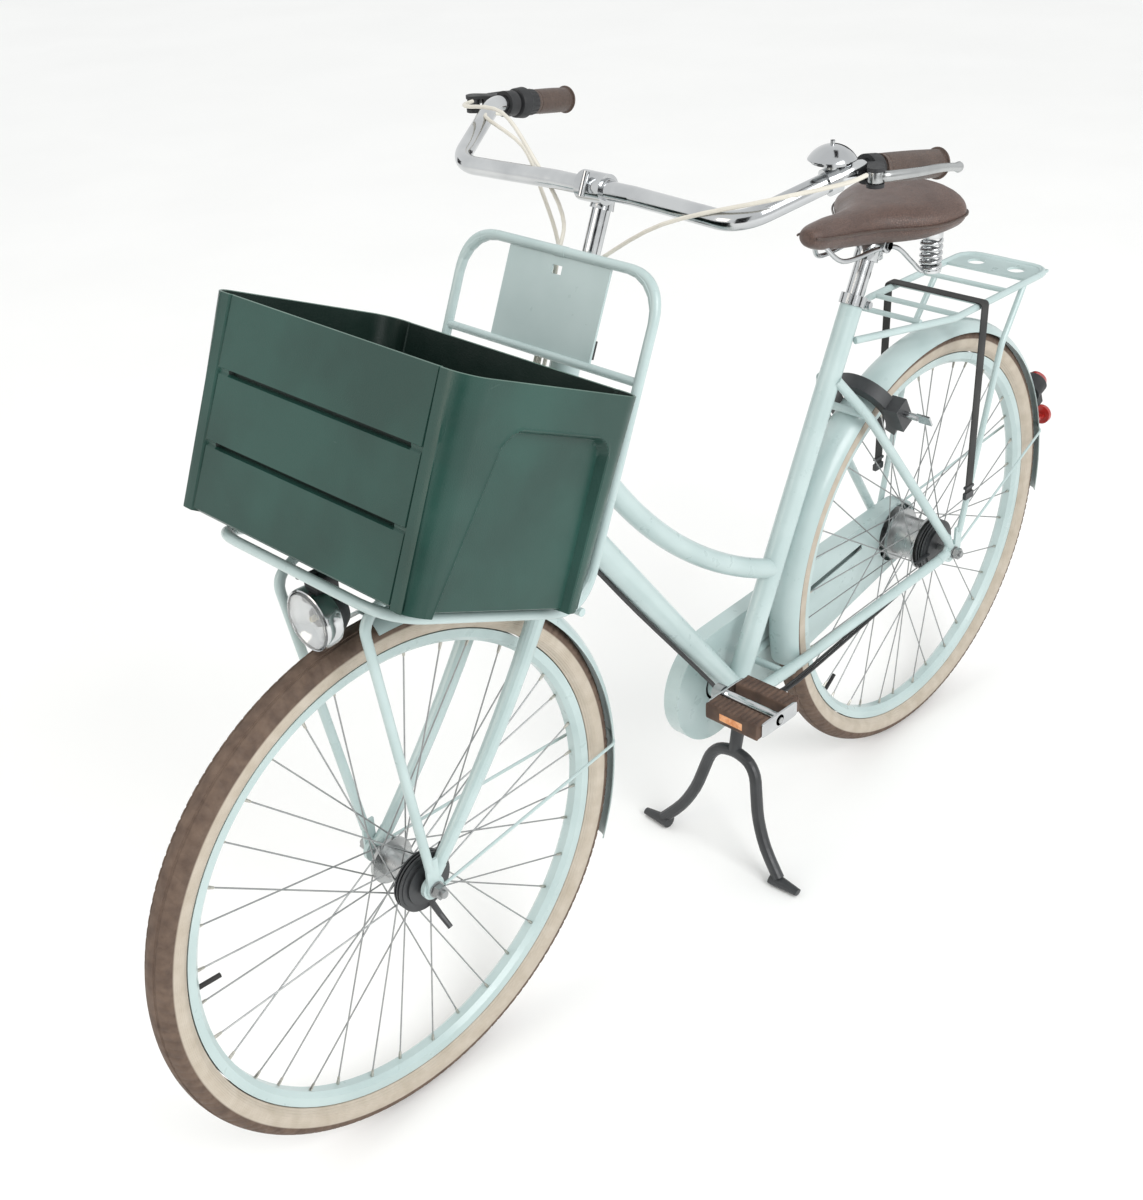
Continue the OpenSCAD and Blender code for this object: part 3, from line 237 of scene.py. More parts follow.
def leather_made(name, low, high, crease, pore_mm, rough):
    """Leather or leather-look vinyl: rounded pebbles of pore_mm from Voronoi cells with creases between them, tanned
    unevenly, darker in the creases and polished paler where it is rubbed."""
    made, tree, shader = blank(name, Coat_Weight=0.12, Coat_Roughness=0.35, Sheen_Weight=0.1)
    cells = add(tree, "TexVoronoi", {"Vector": placed(tree, pore_mm), "Scale": 1.0, "Randomness": 0.9},
                feature="DISTANCE_TO_EDGE").outputs[0]
    pebble = spread(tree, cells, 0.0, 0.25, 0, 1)
    tone = mixed(tree, spread(tree, clouds(tree, 35, 4.0), 0.32, 0.68, 0, 1), low, high)
    tree.links.new(mixed(tree, pebble, crease, tone), shader.inputs["Base Color"])
    tree.links.new(spread(tree, clouds(tree, 18, 3.0), 0.3, 0.7, *rough), shader.inputs["Roughness"])
    tree.links.new(add(tree, "Bump", {"Height": pebble, "Distance": 0.00022}).outputs[0], shader.inputs["Normal"])
    return made


crate_plastic = crate_plastic_made("polypropylene_moulded_green", "#1f3e37", "#264a42")
# Painted shade: a nearly black copy of the same plastic for the crate's inside and the through part of its grooves,
# standing in for the shade there, with a little dust
crate_inside_painted_shade = crate_plastic_made("polypropylene_moulded_green_inside_painted_shade", "#14221e", "#192924")
# Painted highlight: a paler copy of the plastic for the rim's upper faces, standing in for the light from above that
# catches them
crate_rim_painted_highlight = crate_plastic_made("polypropylene_moulded_green_rim_painted_highlight", "#50685f", "#5d766c")
saddle_leather = leather_made("vinyl_grained_brown", "#543e35", "#684f44", "#402f29", 2.6, (0.36, 0.52))
grip_leather = leather_made("leather_stitched_brown", "#4a382f", "#5d483c", "#382a23", 2.2, (0.45, 0.62))


def tyre_rubber_made(name, axle):
    """Tyre rubber: brown tread and cream sidewalls, divided by the distance from the axle. Both are dusty; the tread
    is scuffed paler across, and fine mould rings run round the sidewall 2.5 mm apart."""
    made, tree, shader = blank(name, Specular_IOR_Level=0.4)
    here = add(tree, "VectorMath", {0: add(tree, "TexCoord").outputs["Object"], 1: axle.tolist()}, operation="SUBTRACT")
    parts = add(tree, "SeparateXYZ", {0: here.outputs[0]})
    far = sums(tree, "SQRT", sums(tree, "ADD", sums(tree, "MULTIPLY", parts.outputs[0], parts.outputs[0]),
                                  sums(tree, "MULTIPLY", parts.outputs[2], parts.outputs[2])))
    sidewall = spread(tree, far, 0.3405, 0.3385, 0, 1)
    tread = mixed(tree, spread(tree, clouds(tree, 14, 4.0), 0.3, 0.7, 0, 1), "#54443a", "#6b594c")
    cream = mixed(tree, spread(tree, clouds(tree, 22, 4.0), 0.3, 0.7, 0, 1), "#b0a595", "#beb4a6")
    tree.links.new(mixed(tree, sidewall, tread, cream), shader.inputs["Base Color"])
    tree.links.new(spread(tree, clouds(tree, 9, 3.0), 0.3, 0.7, 0.62, 0.82), shader.inputs["Roughness"])
    rings = sums(tree, "SINE", sums(tree, "MULTIPLY", far, 2 * np.pi / 0.0025))
    height = sums(tree, "MULTIPLY_ADD", rings, sidewall, clouds(tree, 1.5, 2.0))
    tree.links.new(add(tree, "Bump", {"Height": height, "Distance": 0.00012}).outputs[0], shader.inputs["Normal"])
    return made


front_rubber = tyre_rubber_made("rubber_tread_cream_wall_front", front_axle)
rear_rubber = tyre_rubber_made("rubber_tread_cream_wall_rear", rear_axle)

slot_finishes = {
    "mint_enamel": mint_enamel, "crate_plastic": crate_plastic, "chrome_plate": chrome_plate,
    "zinc_steel": zinc_steel, "alloy": alloy, "black_plastic": black_plastic, "black_paint": black_paint,
    "tyre_rubber": front_rubber, "tube_rubber": tube_rubber, "grip_leather": grip_leather,
    "saddle_leather": saddle_leather, "pedal_rubber": pedal_rubber, "cable_grey": cable_grey,
    "cable_black": cable_black, "strap_rubber": strap_rubber, "clear_lens": clear_lens, "red_lens": red_lens}
for cad_node in nodes.values():
    for material_slot in cad_node.material_slots:
        material_slot.material = slot_finishes[material_slot.material.name.split(".")[0]]


# ---- Surfaces ----
def quads(rows, columns, wrap=True):
    """The four corners of each face of a grid; wrap joins the last column to the first."""
    last = columns if wrap else columns - 1
    i, j = np.meshgrid(np.arange(rows - 1), np.arange(last), indexing="ij")
    nxt = (j + 1) % columns
    corners = [i * columns + j, i * columns + nxt, (i + 1) * columns + nxt, (i + 1) * columns + j]
    return np.stack(corners, -1).reshape(-1, 4)


def closed(rings):
    """A closed solid from rings of points (rings, points, 3): quads between rings, and a fan to the middle point at
    each end."""
    rows, columns = rings.shape[:2]
    points = np.concatenate([rings.reshape(-1, 3), rings[0].mean(0)[None], rings[-1].mean(0)[None]])
    first, last = rows * columns, rows * columns + 1
    j = np.arange(columns)
    nxt = (j + 1) % columns
    top = (rows - 1) * columns
    caps = [np.stack([np.full(columns, first), nxt, j], -1), np.stack([np.full(columns, last), top + j, top + nxt], -1)]
    return points, quads(rows, columns).tolist() + np.concatenate(caps).tolist()


def squared(a, power):
    """The two coordinates of a squared-off circle: cosine and sine, each with its size raised to a power below 1."""
    c, s = np.cos(a), np.sin(a)
    return np.sign(c) * np.abs(c) ** power, np.sign(s) * np.abs(s) ** power


def along(path):
    """Unit tangents of a path, and two unit vectors square to each that turn as little as they can."""
    step = np.gradient(path, axis=0)
    tangent = step / np.linalg.norm(step, axis=1)[:, None]
    out = np.zeros_like(tangent)
    start = np.array([0.1, 0.2, 1.0])
    for k, t in enumerate(tangent):
        start = start - t * (start @ t)
        start = start / np.linalg.norm(start)
        out[k] = start
    return tangent, out, np.cross(tangent, out)


def tube(path, radius, sides=16, flat=1.0):
    """A round profile carried along a path; radius is one number or one for each point, and flat squeezes it."""
    path = np.asarray(path, float)
    out, across = along(path)[1:]
    a = np.linspace(0, 2 * np.pi, sides, endpoint=False)[None, :, None]
    r = np.broadcast_to(radius, len(path))[:, None, None]
    return closed(path[:, None] + r * (np.cos(a) * out[:, None] * flat + np.sin(a) * across[:, None]))


def ribbon(path, wide, width, thick):
    """A flat strip with rounded edges carried along a path: wide is the direction of its width."""
    path = np.asarray(path, float)
    tangent = along(path)[0]
    wide = np.broadcast_to(np.asarray(wide, float), path.shape)
    up = np.cross(wide, tangent)
    up = up / np.linalg.norm(up, axis=1)[:, None]
    a = np.linspace(0, 2 * np.pi, 16, endpoint=False)
    x = np.sign(np.cos(a)) * np.abs(np.cos(a)) ** 0.35 * width / 2
    y = np.sign(np.sin(a)) * np.abs(np.sin(a)) ** 0.6 * thick / 2
    return closed(path[:, None] + x[None, :, None] * wide[:, None] + y[None, :, None] * up[:, None])


def turned(profile, centre, axis, sides=48, closed_profile=False):
    """A profile of (radius, height) pairs turned round an axis through a centre. With closed_profile the last pair
    joins the first, and otherwise each end closes on the axis."""
    axis = np.asarray(axis, float) / np.linalg.norm(axis)
    side = np.cross(axis, [0.31, 0.17, 0.93] if abs(axis[2]) < 0.8 else [1.0, 0.1, 0.0])
    side = side / np.linalg.norm(side)
    other = np.cross(axis, side)
    profile = np.asarray(profile, float)
    if closed_profile:
        profile = np.concatenate([profile, profile[:1]])
    a = np.linspace(0, 2 * np.pi, sides, endpoint=False)
    round_way = np.cos(a)[:, None] * side + np.sin(a)[:, None] * other
    rings = np.asarray(centre) + profile[:, 1, None, None] * axis + profile[:, 0, None, None] * round_way[None]
    if not closed_profile:
        return closed(rings)
    rows = len(profile) - 1
    faces = quads(rows + 1, sides)
    return rings[:-1].reshape(-1, 3), (faces % (rows * sides)).tolist()


def rod(a, b, radius, sides=24, soft=0.0006):
    """A straight round bar from a to b with edges rounded by soft metres."""
    a, b = np.asarray(a, float), np.asarray(b, float)
    length = np.linalg.norm(b - a)
    profile = [(radius - soft, 0), (radius - 0.3 * soft, 0.3 * soft), (radius, soft), (radius, length - soft),
               (radius - 0.3 * soft, length - 0.3 * soft), (radius - soft, length)]
    return turned(profile, a, b - a, sides)


def joined(*shapes):
    """Several shapes as one list of points and faces."""
    points, faces, base = [], [], 0
    for p, f in shapes:
        points.append(np.asarray(p, float))
        faces += [[i + base for i in face] for face in f]
        base += len(p)
    return np.concatenate(points), faces


def piece(name, shape, body, slot, skin, *stands_for, sharp=35):
    """Puts a shape into a mesh whose faces point outwards and ride on a body, with a material. The slot is not used."""
    points, faces = shape
    mesh = bpy.data.meshes.new(name)
    mesh.from_pydata(np.asarray(points).tolist(), [], faces)
    mesh.validate()
    made = bpy.data.objects.new(name, mesh)
    scene.collection.objects.link(made)
    outwards(made)
    mesh.polygons.foreach_set("use_smooth", np.ones(len(mesh.polygons), bool))
    mesh.set_sharp_from_angle(angle=np.radians(sharp))
    mesh.materials.append(skin)
    if stands_for:
        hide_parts(*stands_for)
    if body:
        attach(made, body)
    return made


def outwards(made):
    """Turns every face of a closed mesh to point out of it."""
    work = bmesh.new()
    work.from_mesh(made.data)
    bmesh.ops.recalc_face_normals(work, faces=work.faces)
    work.to_mesh(made.data)
    work.free()


def curve(points, steps=8):
    """A smooth line through the points: Catmull-Rom cubics with steps points in each span."""
    p = np.asarray(points, float)
    p = np.concatenate([2 * p[:1] - p[1:2], p, 2 * p[-1:] - p[-2:-1]])
    t = np.linspace(0, 1, steps, endpoint=False)[None, :, None]
    a, b, c, d = p[:-3, None], p[1:-2, None], p[2:-1, None], p[3:, None]
    line = 0.5 * (2 * b + (c - a) * t + (2 * a - 5 * b + 4 * c - d) * t ** 2 + (3 * b - a - 3 * c + d) * t ** 3)
    return np.concatenate([line.reshape(-1, 3), p[-2:-1]])


def bent(points, radius, steps=10):
    """A bent tube's line: straight runs joined at each corner by a fillet of the given radius in millimetres, as the
    quadratic through the corner's two tangent points."""
    p = [np.asarray(q, float) for q in points]
    line = [p[0]]
    for a, b, c in zip(p[:-2], p[1:-1], p[2:]):
        back, on = (a - b), (c - b)
        la, lc = np.linalg.norm(back), np.linalg.norm(on)
        half = np.arccos(np.clip(back @ on / la / lc, -1, 1)) / 2
        cut = min(radius / 1000 / np.tan(half), 0.48 * la, 0.48 * lc)
        start, end = b + back / la * cut, b + on / lc * cut
        t = np.linspace(0, 1, steps)[:, None]
        line += list((1 - t) ** 2 * start + 2 * t * (1 - t) * b + t ** 2 * end)
    line.append(p[-1])
    return np.array(line)


# ---- Crate ----
CRATE_FRONT, CRATE_REAR, CRATE_HALF, CRATE_CORNER = 361.0, 96.0, 209.0, 30.0
CRATE_FLOOR, CRATE_HIGH, CRATE_WALL, SEAM = 400.0, 241.0, 3.0, 168.0
CRATE_MIDDLE = (CRATE_FRONT + CRATE_REAR) / 2
GROOVES = (79, 159)


def step_down(distance, width):
    """0 where the distance is positive, 1 where it is below minus the width, and a straight slope between."""
    return np.clip(-distance / width, 0, 1)


def crate_lines(low, high, pitch, edges):
    """Evenly spaced grid lines, of which those near an edge give way to a line exactly on it, so it comes out crisp."""
    lines = np.linspace(low, high, int(round((high - low) / pitch)) + 1)
    near = np.min([np.abs(lines - e) for e in edges], axis=0) < pitch * 0.4
    near[[0, -1]] = False
    return np.unique(np.concatenate([lines[~near], edges]))


PANEL_TOP, PANEL_SLOPE = 194.0, 4.0


def panel_edges(s):
    """Where the sunk panel's front and rear edges stand at a height, from the middle of the crate's side."""
    low = np.minimum(s, PANEL_TOP)
    return 100.5 - 0.2 * low, -98.5 + 0.03 * low


def recess(t, s):
    """The sunk panel in each side: a tapered window with rounded upper corners, open at the bottom, as the signed
    distance to its outline, which is negative inside."""
    front, rear = panel_edges(s)
    side = np.maximum((t - front) * 0.98, rear - t)
    top = s - PANEL_TOP
    round_r = 24
    corner = np.hypot(np.maximum(side + round_r, 0), np.maximum(top + round_r, 0)) - round_r
    return np.where((side > -round_r) & (top > -round_r), corner, np.maximum(side, top))


def crate_shape():
    """A rounded rectangle carried up from the floor to the rim. Each wall leans out a little and is pressed inwards by
    a depth worked out from its own two measures: a tapered panel 8 to 11 mm deep in each side, whose edges the grid's
    columns follow, and boards 0.8 mm deep with two grooves and a seam at each end; the grooves look dark only through
    painted shade in the crate's second material. The inner face is the same surface 3 mm inside, and the floor closes
    it."""
    r = CRATE_CORNER
    v = crate_lines(0, CRATE_HIGH, 3.2, [at + q for at in GROOVES for q in (-4, -1.4, 2.8, 3.6)] +
                    [190, 192, 194, 195.7, 197.4])[:, None]
    ys = crate_lines(-CRATE_HALF + r, CRATE_HALF - r, 5.5,
                     [q * w for q in (-1, 1) for w in (147, 150, 166.2, 167.1, 168.9, 169.8)])[1:-1]
    slope = PANEL_SLOPE / 0.98
    front, rear = panel_edges(v)
    share = np.linspace(0, 1, 62)[None]
    ts = np.concatenate([102.5 + (front - 102.5) * np.linspace(0, 1, 4)[None, 1:-1], np.minimum(front + 3.4, 102.3),
                         np.minimum(front + 1.7, 101.9), rear - 1.7, rear - 3.4, front, front - slope / 2,
                         front - slope + (rear + PANEL_SLOPE - front + slope) * share, rear + PANEL_SLOPE / 2,
                         rear, rear + (-102.5 - rear) * np.linspace(0, 1, 4)[None, 1:-1]], 1)
    ts = np.sort(ts + CRATE_MIDDLE, axis=1)
    arc = np.linspace(0, np.pi / 2, 14)
    high = len(v)
    t, y, nt, ny = [], [], [], []
    for k, (ct, cy) in enumerate([(CRATE_FRONT - r, CRATE_HALF - r), (CRATE_REAR + r, CRATE_HALF - r),
                                  (CRATE_REAR + r, r - CRATE_HALF), (CRATE_FRONT - r, r - CRATE_HALF)]):
        a = (arc + k * np.pi / 2)[None] + np.zeros((high, 1))
        run_y = np.broadcast_to(ys, (high, len(ys)))
        run = [ts[:, ::-1], run_y[:, ::-1], ts, run_y][k]
        one = np.ones_like(run)
        t += [ct + r * np.cos(a), run if k % 2 == 0 else one * [0, CRATE_REAR, 0, CRATE_FRONT][k]]
        y += [cy + r * np.sin(a), one * [CRATE_HALF, 0, -CRATE_HALF, 0][k] if k % 2 == 0 else run]
        nt += [np.cos(a), one * [0, -1, 0, 1][k]]
        ny += [np.sin(a), one * [1, 0, -1, 0][k]]
    t, y, nt, ny = (np.concatenate(q, 1) for q in (t, y, nt, ny))
    on_end = (np.abs(nt) > 0.999) & (np.abs(y) <= SEAM)
    in_panel = step_down(recess(t - CRATE_MIDDLE, np.zeros_like(t)), 6) * (np.abs(ny) > 0.8)
    s = np.maximum(v, (np.where(on_end, 4.2, 0) + 4.0 * in_panel)[:1])
    flat_end = np.abs(nt) > 0.999
    end_board = step_down(np.abs(y) - 168.9, 1.8) * flat_end
    seam = step_down(np.abs(np.abs(y) - SEAM) - 1.8, 0.9) * flat_end
    groove = sum(step_down(s - at - 3.6, 0.8) * step_down(at - 4 - s, 2.6) for at in GROOVES)
    groove = groove * flat_end * step_down(np.abs(y) - 167.1, 0.9)
    slot = groove * step_down(np.abs(y) - 150, 3)
    first, second = GROOVES
    board = np.where(s < first, s / first, np.where(s < second, (s - first) / 80, (s - second) / 82))
    lean = end_board * (0.7 + 1.3 * board)
    edge = recess(t - CRATE_MIDDLE, s)
    panel = step_down(edge, PANEL_SLOPE) * (np.abs(ny) > 0.8)
    lip_round = 1.2 * np.clip(1 - np.abs(edge - 1.7) / 1.7, 0, 1) * (np.abs(ny) > 0.8)
    depth = (8 + 3.5 * s / CRATE_HIGH) * panel - lip_round + lean + np.maximum(1.8 * seam, 1.6 * groove + 5.4 * slot)
    k = 1 - s / CRATE_HIGH

    def skin(inset):
        """The wall at an inset from the outside, as points for each height and each place round it."""
        d = depth + inset
        away_t = np.sign(nt) * (np.abs(nt) > 0.3) * 2 * k
        away_y = np.sign(ny) * (np.abs(ny) > 0.3) * 9 * k
        return np.stack([t - nt * d - away_t, y - ny * d - away_y, CRATE_FLOOR + s + 0 * t], -1)

    outer, inner = skin(0.0), skin(CRATE_WALL)
    inner[..., 2] = np.maximum(inner[..., 2], CRATE_FLOOR + 4)
    lip = (outer[-1:] * 0.5 + inner[-1:] * 0.5)
    under = outer[:1] * 0.96 + np.array([CRATE_MIDDLE, 0, CRATE_FLOOR]) * 0.04
    under[..., 2] = CRATE_FLOOR + 0.6
    floor_out = np.array([CRATE_MIDDLE, 0, CRATE_FLOOR + 0.6])
    floor_in = np.array([CRATE_MIDDLE, 0, CRATE_FLOOR + 4])
    rims = [outer[-1:].copy(), lip, inner[-1:].copy()]
    outer = outer[:-1]
    inner = inner[:-1]
    rims[0][..., 2] -= 0.8
    rims[2][..., 2] -= 0.8
    rings = np.concatenate([(under * 0.2 + floor_out * 0.8), under, outer] + rims +
                           [inner[::-1], inner[:1] * 0.2 + floor_in * 0.8])
    shape, faces = closed(rings)
    shape[-2], shape[-1] = floor_out, floor_in
    return steer(shape[:, :1], shape[:, 1:2], shape[:, 2:]), faces


crate = piece("crate", crate_shape(), "steering", "crate_plastic", crate_plastic, "crate_shell", "crate_slats",
              sharp=24)
crate.data.materials.append(crate_inside_painted_shade)
face_way = np.zeros(len(crate.data.polygons) * 3)
face_mid = face_way.copy()
crate.data.polygons.foreach_get("normal", face_way)
crate.data.polygons.foreach_get("center", face_mid)
face_way, face_mid = face_way.reshape(-1, 3), face_mid.reshape(-1, 3)
from_base = face_mid - steer_base
up_mm = (from_base @ steer_up) * 1000 - CRATE_FLOOR
ahead_mm = (from_base @ steer_ahead) * 1000 - CRATE_MIDDLE
on_side = np.abs(face_mid[:, 1]) > 0.18
# Painted shade: faces that look into the crate, and its inner floor, take the nearly black copy of the plastic
inward = np.where(on_side, face_way[:, 1] * face_mid[:, 1] < 0, face_way @ steer_ahead * ahead_mm < -0.5)
inward |= (face_way @ steer_up > 0.7) & (up_mm < 10)
# Painted shade: the through part of each groove takes the nearly black copy too, standing in for the open slot
groove_slot_painted_shade = (np.abs(face_mid[:, 1]) < 0.149) & np.any([np.abs(up_mm - at - 1.2) < 1.6 for at in GROOVES], axis=0)
# Painted highlight: the rim's upward faces take the paler copy of the plastic
rim_painted_highlight_faces = (up_mm > CRATE_HIGH - 1.5) & (face_way @ steer_up > 0.3)
crate.data.materials.append(crate_rim_painted_highlight)
crate.data.polygons.foreach_set("material_index", np.where(rim_painted_highlight_faces, 2, inward | groove_slot_painted_shade).astype(np.int32))


# ---- Tyres ----
def tyre_shape(axle):
    """A round section with a rubber tread, carried round the axle. The angle round the wheel and the angle round the
    section give the tread: two grooves that run all the way round, and short cuts across each shoulder 14 mm apart."""
    half = np.array([0, 3.5, 7, 7.8, 10.2, 11, 14, 16, 18.5, 21, 23.5, 26, 28, 29.5, 32, 35, 39, 43, 47, 51, 58, 66])
    arc_mm = np.concatenate([-half[:0:-1], half])[None]
    around, section = 1000, arc_mm.shape[1]
    wheel_r, tyre_r, cut_step = 357, 23.5, 14.02
    a = np.linspace(0, 2 * np.pi, around, endpoint=False)[:, None]
    b = arc_mm / tyre_r
    cut = np.abs(((a * wheel_r + np.abs(arc_mm) * 0.5) / cut_step) % 1 - 0.5) * cut_step
    shoulder = (np.abs(arc_mm) > 12) & (np.abs(arc_mm) < 28.5)
    groove = step_down(np.abs(np.abs(arc_mm) - 9) - 2, 0.8)
    cuts = step_down(cut - 2.2, 1.0) * shoulder
    tread = 1.5 * step_down(np.abs(arc_mm) - 29, 2.5)
    bead = np.abs(b) > 2.15
    r = np.where(bead, 20.6, tyre_r - 1.5) + tread - 1.1 * np.maximum(groove, cuts)
    out = np.maximum(wheel_r - tyre_r + r * np.cos(b), 317.5)
    y = r * np.sin(b)
    rings = np.stack([axle[0] + out * np.cos(a) / 1000, y / 1000 + 0 * a, axle[2] + out * np.sin(a) / 1000], -1)
    faces = quads(around + 1, section) % (around * section)
    return rings.reshape(-1, 3), faces.tolist()


piece("front_tyre_tread", tyre_shape(front_axle), "front_wheel", "tyre_rubber", front_rubber, "front_tyre")
piece("rear_tyre_tread", tyre_shape(rear_axle), "rear_wheel", "tyre_rubber", rear_rubber, "rear_tyre")


# ---- Saddle ----
saddle_nose = bike(-784, 0, 966)
SADDLE_LONG = 282.0


def saddle_half(k):
    """Half of the saddle's width in millimetres at a share of the way from the nose to the back."""
    return (22 + 78 / (1 + np.exp(-13 * (k - 0.56))) + 6 * np.sin(np.pi * k)
            - 30 * (np.maximum(0, k - 0.86) / 0.14) ** 2)


def saddle_ends(k):
    """How full the saddle is at each share of its length, as a quarter of an ellipse at the nose and at the tail."""
    nose = np.sqrt(np.clip(1 - (1 - np.minimum(k / 0.11, 1)) ** 2, 0, 1))
    tail = np.sqrt(np.clip(1 - (1 - np.minimum((1 - k) / 0.07, 1)) ** 2, 0, 1))
    return nose, tail


def saddle_shape(rows=72, sides=56, shrink=0.0):
    """A crowned top over skirts that tuck in: at each share k of its length a rounded section of the saddle's width,
    whose height falls to the sides, narrowed at both ends by a quarter of an ellipse."""
    k = (1 - np.cos(np.linspace(0, np.pi, rows))) / 2
    k = 0.012 + 0.976 * k
    nose, tail = saddle_ends(k)
    pinch = (0.25 + 0.75 * nose) * (0.35 + 0.65 * tail)
    w = (saddle_half(k) * pinch - shrink)[:, None]
    top = (10 * k ** 2 - 8 * np.sin(np.pi * k))[:, None]
    deep = (34 + 38 * k)[:, None] * (0.45 + 0.55 * (nose * tail))[:, None] - 2 * shrink
    a = np.linspace(0, 2 * np.pi, sides, endpoint=False)[None]
    c, s = np.cos(a), np.sin(a)
    flare = np.where(s < 0, 1 - 0.12 * (-s), 1.0)
    y = w * np.sign(c) * np.abs(c) ** 0.85 * flare
    centre = top - (34 + 38 * k)[:, None] / 2
    z = centre + deep / 2 * np.sign(s) * np.abs(s) ** 0.75
    x = -SADDLE_LONG * k[:, None] + 0 * a
    return closed(saddle_nose + np.stack([x, y, z], -1) / 1000)


def padded_by_cloth(made, voxel, pressure, cap):
    """Cloth with air pressure inside: the pad is remeshed, blown up for 20 frames without gravity, held to within
    cap metres of where it started, and smoothed once."""
    bpy.context.view_layer.objects.active = made
    for o in scene.objects:
        o.select_set(o == made)
    remesh = made.modifiers.new("even", "REMESH")
    remesh.mode, remesh.voxel_size = "VOXEL", voxel
    bpy.ops.object.modifier_apply(modifier="even")
    start = np.zeros(len(made.data.vertices) * 3)
    made.data.vertices.foreach_get("co", start)
    cloth = made.modifiers.new("pad", "CLOTH")
    cloth.settings.quality = 5
    cloth.settings.mass = 0.3
    cloth.settings.tension_stiffness = cloth.settings.compression_stiffness = 40
    cloth.settings.bending_stiffness = 8
    cloth.settings.use_pressure = True
    cloth.settings.uniform_pressure_force = pressure
    cloth.settings.effector_weights.gravity = 0
    for n in range(1, 21):
        scene.frame_set(n)
    graph = bpy.context.evaluated_depsgraph_get()
    blown = np.zeros(len(start))
    made.evaluated_get(graph).data.vertices.foreach_get("co", blown)
    made.modifiers.remove(cloth)
    scene.frame_set(1)
    move = (blown - start).reshape(-1, 3)
    size = np.maximum(np.linalg.norm(move, axis=1), 1e-9)[:, None]
    move = move * np.minimum(size, cap) / size
    made.data.vertices.foreach_set("co", (start.reshape(-1, 3) + move).ravel())
    made.data.update()
    smooth = made.modifiers.new("soft", "SUBSURF")
    smooth.levels = smooth.render_levels = 1
    bpy.ops.object.modifier_apply(modifier="soft")
    made.data.polygons.foreach_set("use_smooth", np.ones(len(made.data.polygons), bool))
    return made


saddle_cover = piece("saddle_cover", saddle_shape(shrink=2.0), None, "saddle_leather", saddle_leather, "saddle",
                     sharp=180)
padded_by_cloth(saddle_cover, 0.0045, 4.0, 0.003)
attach(saddle_cover, "seat_post")


# ---- Handlebar, grips, levers and shifter ----
bar_clamp = steer(18, 0, 842)
bar_bend, bar_rise, bar_end = bike(-372, 219, 1106), bike(-490, 277, 1146), bike(-634, 290, 1124)
grip_way = (bar_end - bar_rise) / np.linalg.norm(bar_end - bar_rise)


def on_bar(sign, d):
    """A point on the bar's axis, d millimetres in from its end, on the left (1) or right (-1)."""
    return left_right(bar_end - d / 1000 * grip_way, sign)


def handlebar_shape():
    """One tube of 11 mm radius bent through the clamp, the two bends and the two ends, with a sleeve at the clamp."""
    half = [bar_clamp + mm(2, 60, 0), bar_bend, bar_rise, bar_end]
    line = [left_right(p, -1) for p in half[::-1]] + half
    return joined(tube(bent(line, 48, 18), 0.011, 40),
                  rod(bar_clamp - mm(0, 22.5, 0), bar_clamp + mm(0, 22.5, 0), 0.0127, 40))


piece("handlebar_tube", handlebar_shape(), "steering", "chrome_plate", chrome_plate, "handlebar")


def grip_shape(sign, length):
    """A grip turned round the bar: a sleeve that swells by half a millimetre, with a groove near each end and a
    domed, flanged cap."""
    d = np.linspace(0, length, 60)
    r = 15.4 + 0.55 * np.sin(np.pi * d / length) - 0.7 * np.maximum(np.exp(-((d - 5) / 0.8) ** 2),
                                                                    np.exp(-((d - length + 5) / 0.8) ** 2))
    cap = [(6, 5.0), (12, 4.6), (14.6, 3.4), (15.8, 1.8), (17.2, 0.6), (17.8, -0.6), (17.2, -1.6), (15.4, -2.2)]
    profile = [(q / 1000, w / 1000) for q, w in cap] + [(q / 1000, -w / 1000) for q, w in zip(r[3:], d[3:])]
    profile += [(0.0135, -length / 1000)]
    return turned(profile, on_bar(sign, 0), left_right(grip_way, sign), 48)


piece("grip_covers", joined(grip_shape(1, 104), grip_shape(-1, 70)), "steering", "grip_leather", grip_leather, "grips")


def stitches(points, length, radius):
    """Short stitches laid end to end on a line: every other stretch of it is a fat little thread."""
    far = np.concatenate([[0], np.cumsum(np.linalg.norm(np.diff(points, axis=0), axis=1))])
    starts = np.arange(0, far[-1] - length, length * 1.45)
    shapes = []
    for d in starts:
        at = [[np.interp(q, far, points[:, k]) for k in range(3)] for q in np.linspace(d, d + length, 4)]
        shapes.append(tube(at, np.array([0.45, 1, 1, 0.45]) * radius, 6))
    return joined(*shapes)


linen_thread = finish("waxed_linen_thread", "#8a7563", "#9c8774", 2, (0.5, 0.7), 0.5, 0.08, stretch=(1, 1, 3))
under = np.array([0, 0, -1.0])
seams = [np.array([on_bar(sign, d) + under * 0.0158 + mm(0, 1.2 * k, 0) for d in np.linspace(8, length - 8, 20)])
         for sign, length in ((1, 104), (-1, 70)) for k in (-1, 1)]
piece("grip_stitches", joined(*[stitches(seam, 0.0035, 0.0005) for seam in seams]), "steering", "grip_leather",
      linen_thread)


def lever_pivot(sign):
    """The brake lever's upright pin."""
    return on_bar(sign, 124) + mm(26, 30 * sign, 2)


def lever_shape(sign):
    """A forged blade carried along a bow from its hub towards the end of the grip: an oval that thins, then swells
    into the rounded ball at its tip."""
    p = lever_pivot(sign)
    line = curve([p + mm(*q) for q in ((-4, 3 * sign, 0), (-12, 10 * sign, 0), (-50, 19 * sign, -3),
                                        (-95, 21 * sign, -8), (-131, 22 * sign, -15))], 12)
    k = np.linspace(0, 1, len(line))
    r = 5.4 - 1.6 * k + 1.6 * np.exp(-((k - 0.965) / 0.035) ** 2)
    r = r * np.sqrt(np.clip(1 - np.clip((k - 0.965) / 0.036, 0, 1) ** 2, 0.05, 1))
    return joined(tube(line, r / 1000, 20, flat=1.12), rod(p - mm(0, 0, 6), p + mm(0, 0, 6), 0.008))


